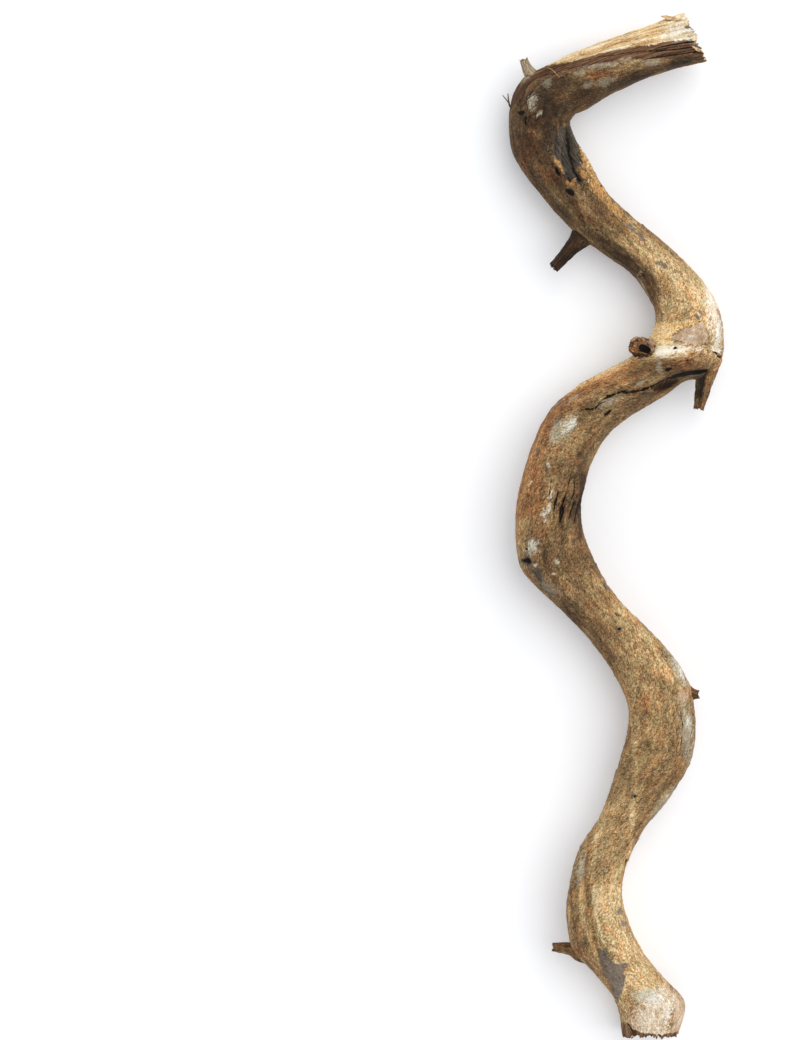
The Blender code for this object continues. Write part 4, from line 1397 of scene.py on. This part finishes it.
# Rootlets and loose fibres: thin tubes, with X, Y, Z and radius at points along each
threads = {
    "rootlet": ((-76, 311, 24, 0.9), (-79.5, 315, 26, 0.7), (-80.5, 319, 27, 0.55), (-81, 324, 28, 0.3)),
    "rootletFork": ((-80.2, 317, 26, 0.55), (-82.5, 320, 26, 0.42), (-85, 323, 26, 0.25)),
    "looseFibre": ((-52, 341, 43, 0.2), (-49, 339, 46.5, 0.18), (-45, 335, 47.5, 0.16), (-42, 332, 46, 0.12)),
}


def addThreads(material):
    for number, (name, path) in enumerate(threads.items()):
        rings = tubeRings(smoothPath(path, 24), 8)[0]
        shape = rings.shape[:2]
        pale = name == "looseFibre"
        looks = {
            "tone": np.full(shape, -0.1 if pale else -0.25), "bare": np.full(shape, float(pale)),
            "pit": np.full(shape, 0 if pale else 0.45), "grain": rings, "slant": rings,
        }
        addPiece(name, rings, rings[0].mean(axis=0), rings[-1].mean(axis=0), looks, material)


# The set

view = {
    "middle": (-0.162, 0.00375),
    "height": 0.78,  # of the floor that the picture takes in, in metres
    "lens": 100,
    "sensor": 36,
    "focusHeight": 0.03,
    "floorFlat": 3.5,  # radius of its flat part
    "floorReach": 8,
    "floorRise": 5,
    "floorRings": 24,
    "floorSides": 72,
    "floorFinish": {
        "Base Color": (0.88, 0.885, 0.90, 1),
        "Roughness": 0.95,
        "Specular IOR Level": 0.1,
        "Emission Color": (0.93, 0.96, 1.0, 1),  # as of a cloth that is too bright for the picture
        "Emission Strength": 0.13,
    },
    "sunTurn": 30,  # from +X towards +Y, in degrees
    "sunHeight": 54,
    "sunSoftness": 75,
    "sunStrength": 1.75,
    "sunColour": (1.0, 0.98, 0.95),
    "skyColour": (0.95, 0.97, 1.0, 1),
    "skyStrength": 0.68,
}


# A round bowl: its height is the rise times the smooth step from the flat part to the reach
def addFloor():
    sides, flat, reach = view["floorSides"], view["floorFlat"], view["floorReach"]
    radius = np.concatenate(([0.5, 2], np.linspace(flat, reach, view["floorRings"])))[:, None]
    angle = np.linspace(0, 2 * math.pi, sides, endpoint=False)[None]
    height = view["floorRise"] * smoothStep(flat, reach * 1.35, radius) + 0 * angle - 0.0002
    points = np.dstack((radius * np.cos(angle), radius * np.sin(angle), height)).reshape(-1, 3)
    row, column = np.meshgrid(np.arange(len(radius) - 1), np.arange(sides), indexing="ij")
    beside = (column + 1) % sides
    ahead = (row + 1) * sides
    faces = np.stack((row * sides + column, ahead + column, ahead + beside, row * sides + beside), axis=-1)
    mesh = bpy.data.meshes.new("floor")
    mesh.from_pydata(points.tolist(), [], faces.reshape(-1, 4).tolist() + [list(range(sides))])
    mesh.shade_smooth()
    board = Board("paleFloor")
    for socket, value in view["floorFinish"].items():
        board.shader.inputs[socket].default_value = value
    mesh.materials.append(board.material)
    floor = bpy.data.objects.new("floor", mesh)
    bpy.context.scene.collection.objects.link(floor)


def addSet():
    scene = bpy.context.scene
    addFloor()
    sun = bpy.data.lights.new("windowLight", "SUN")
    sun.energy = view["sunStrength"]
    sun.angle = math.radians(view["sunSoftness"])
    sun.color = view["sunColour"]
    lamp = bpy.data.objects.new("windowLight", sun)
    lamp.rotation_euler = (0, math.radians(90 - view["sunHeight"]), math.radians(view["sunTurn"]))
    scene.collection.objects.link(lamp)

    world = bpy.data.worlds.new("paleRoom")
    world.use_nodes = True
    sky = world.node_tree.nodes["Background"]
    sky.inputs["Color"].default_value = view["skyColour"]
    sky.inputs["Strength"].default_value = view["skyStrength"]
    scene.world = world
    scene.view_settings.view_transform = "Standard"

    camera = bpy.data.objects.new("camera", bpy.data.cameras.new("camera"))
    camera.data.lens = view["lens"]
    camera.data.sensor_width = view["sensor"]
    distance = view["height"] * view["lens"] / view["sensor"]
    camera.location = (*view["middle"], view["focusHeight"] + distance)
    scene.collection.objects.link(camera)
    scene.camera = camera
    print("set made")


addSet()
barkMaterial = driedBark()
side, sideLooks = addStem(barkMaterial)
for number, (name, twig) in enumerate(twigs.items()):
    addTwig(name, twig, 100 + number, barkMaterial)
addKnot(barkMaterial)
addSplinters(side, sideLooks["bare"], barkMaterial)
addBarkFlakes(side, sideLooks, barkMaterial)
addBigFlakes(side, barkMaterial)
addThreads(barkMaterial)
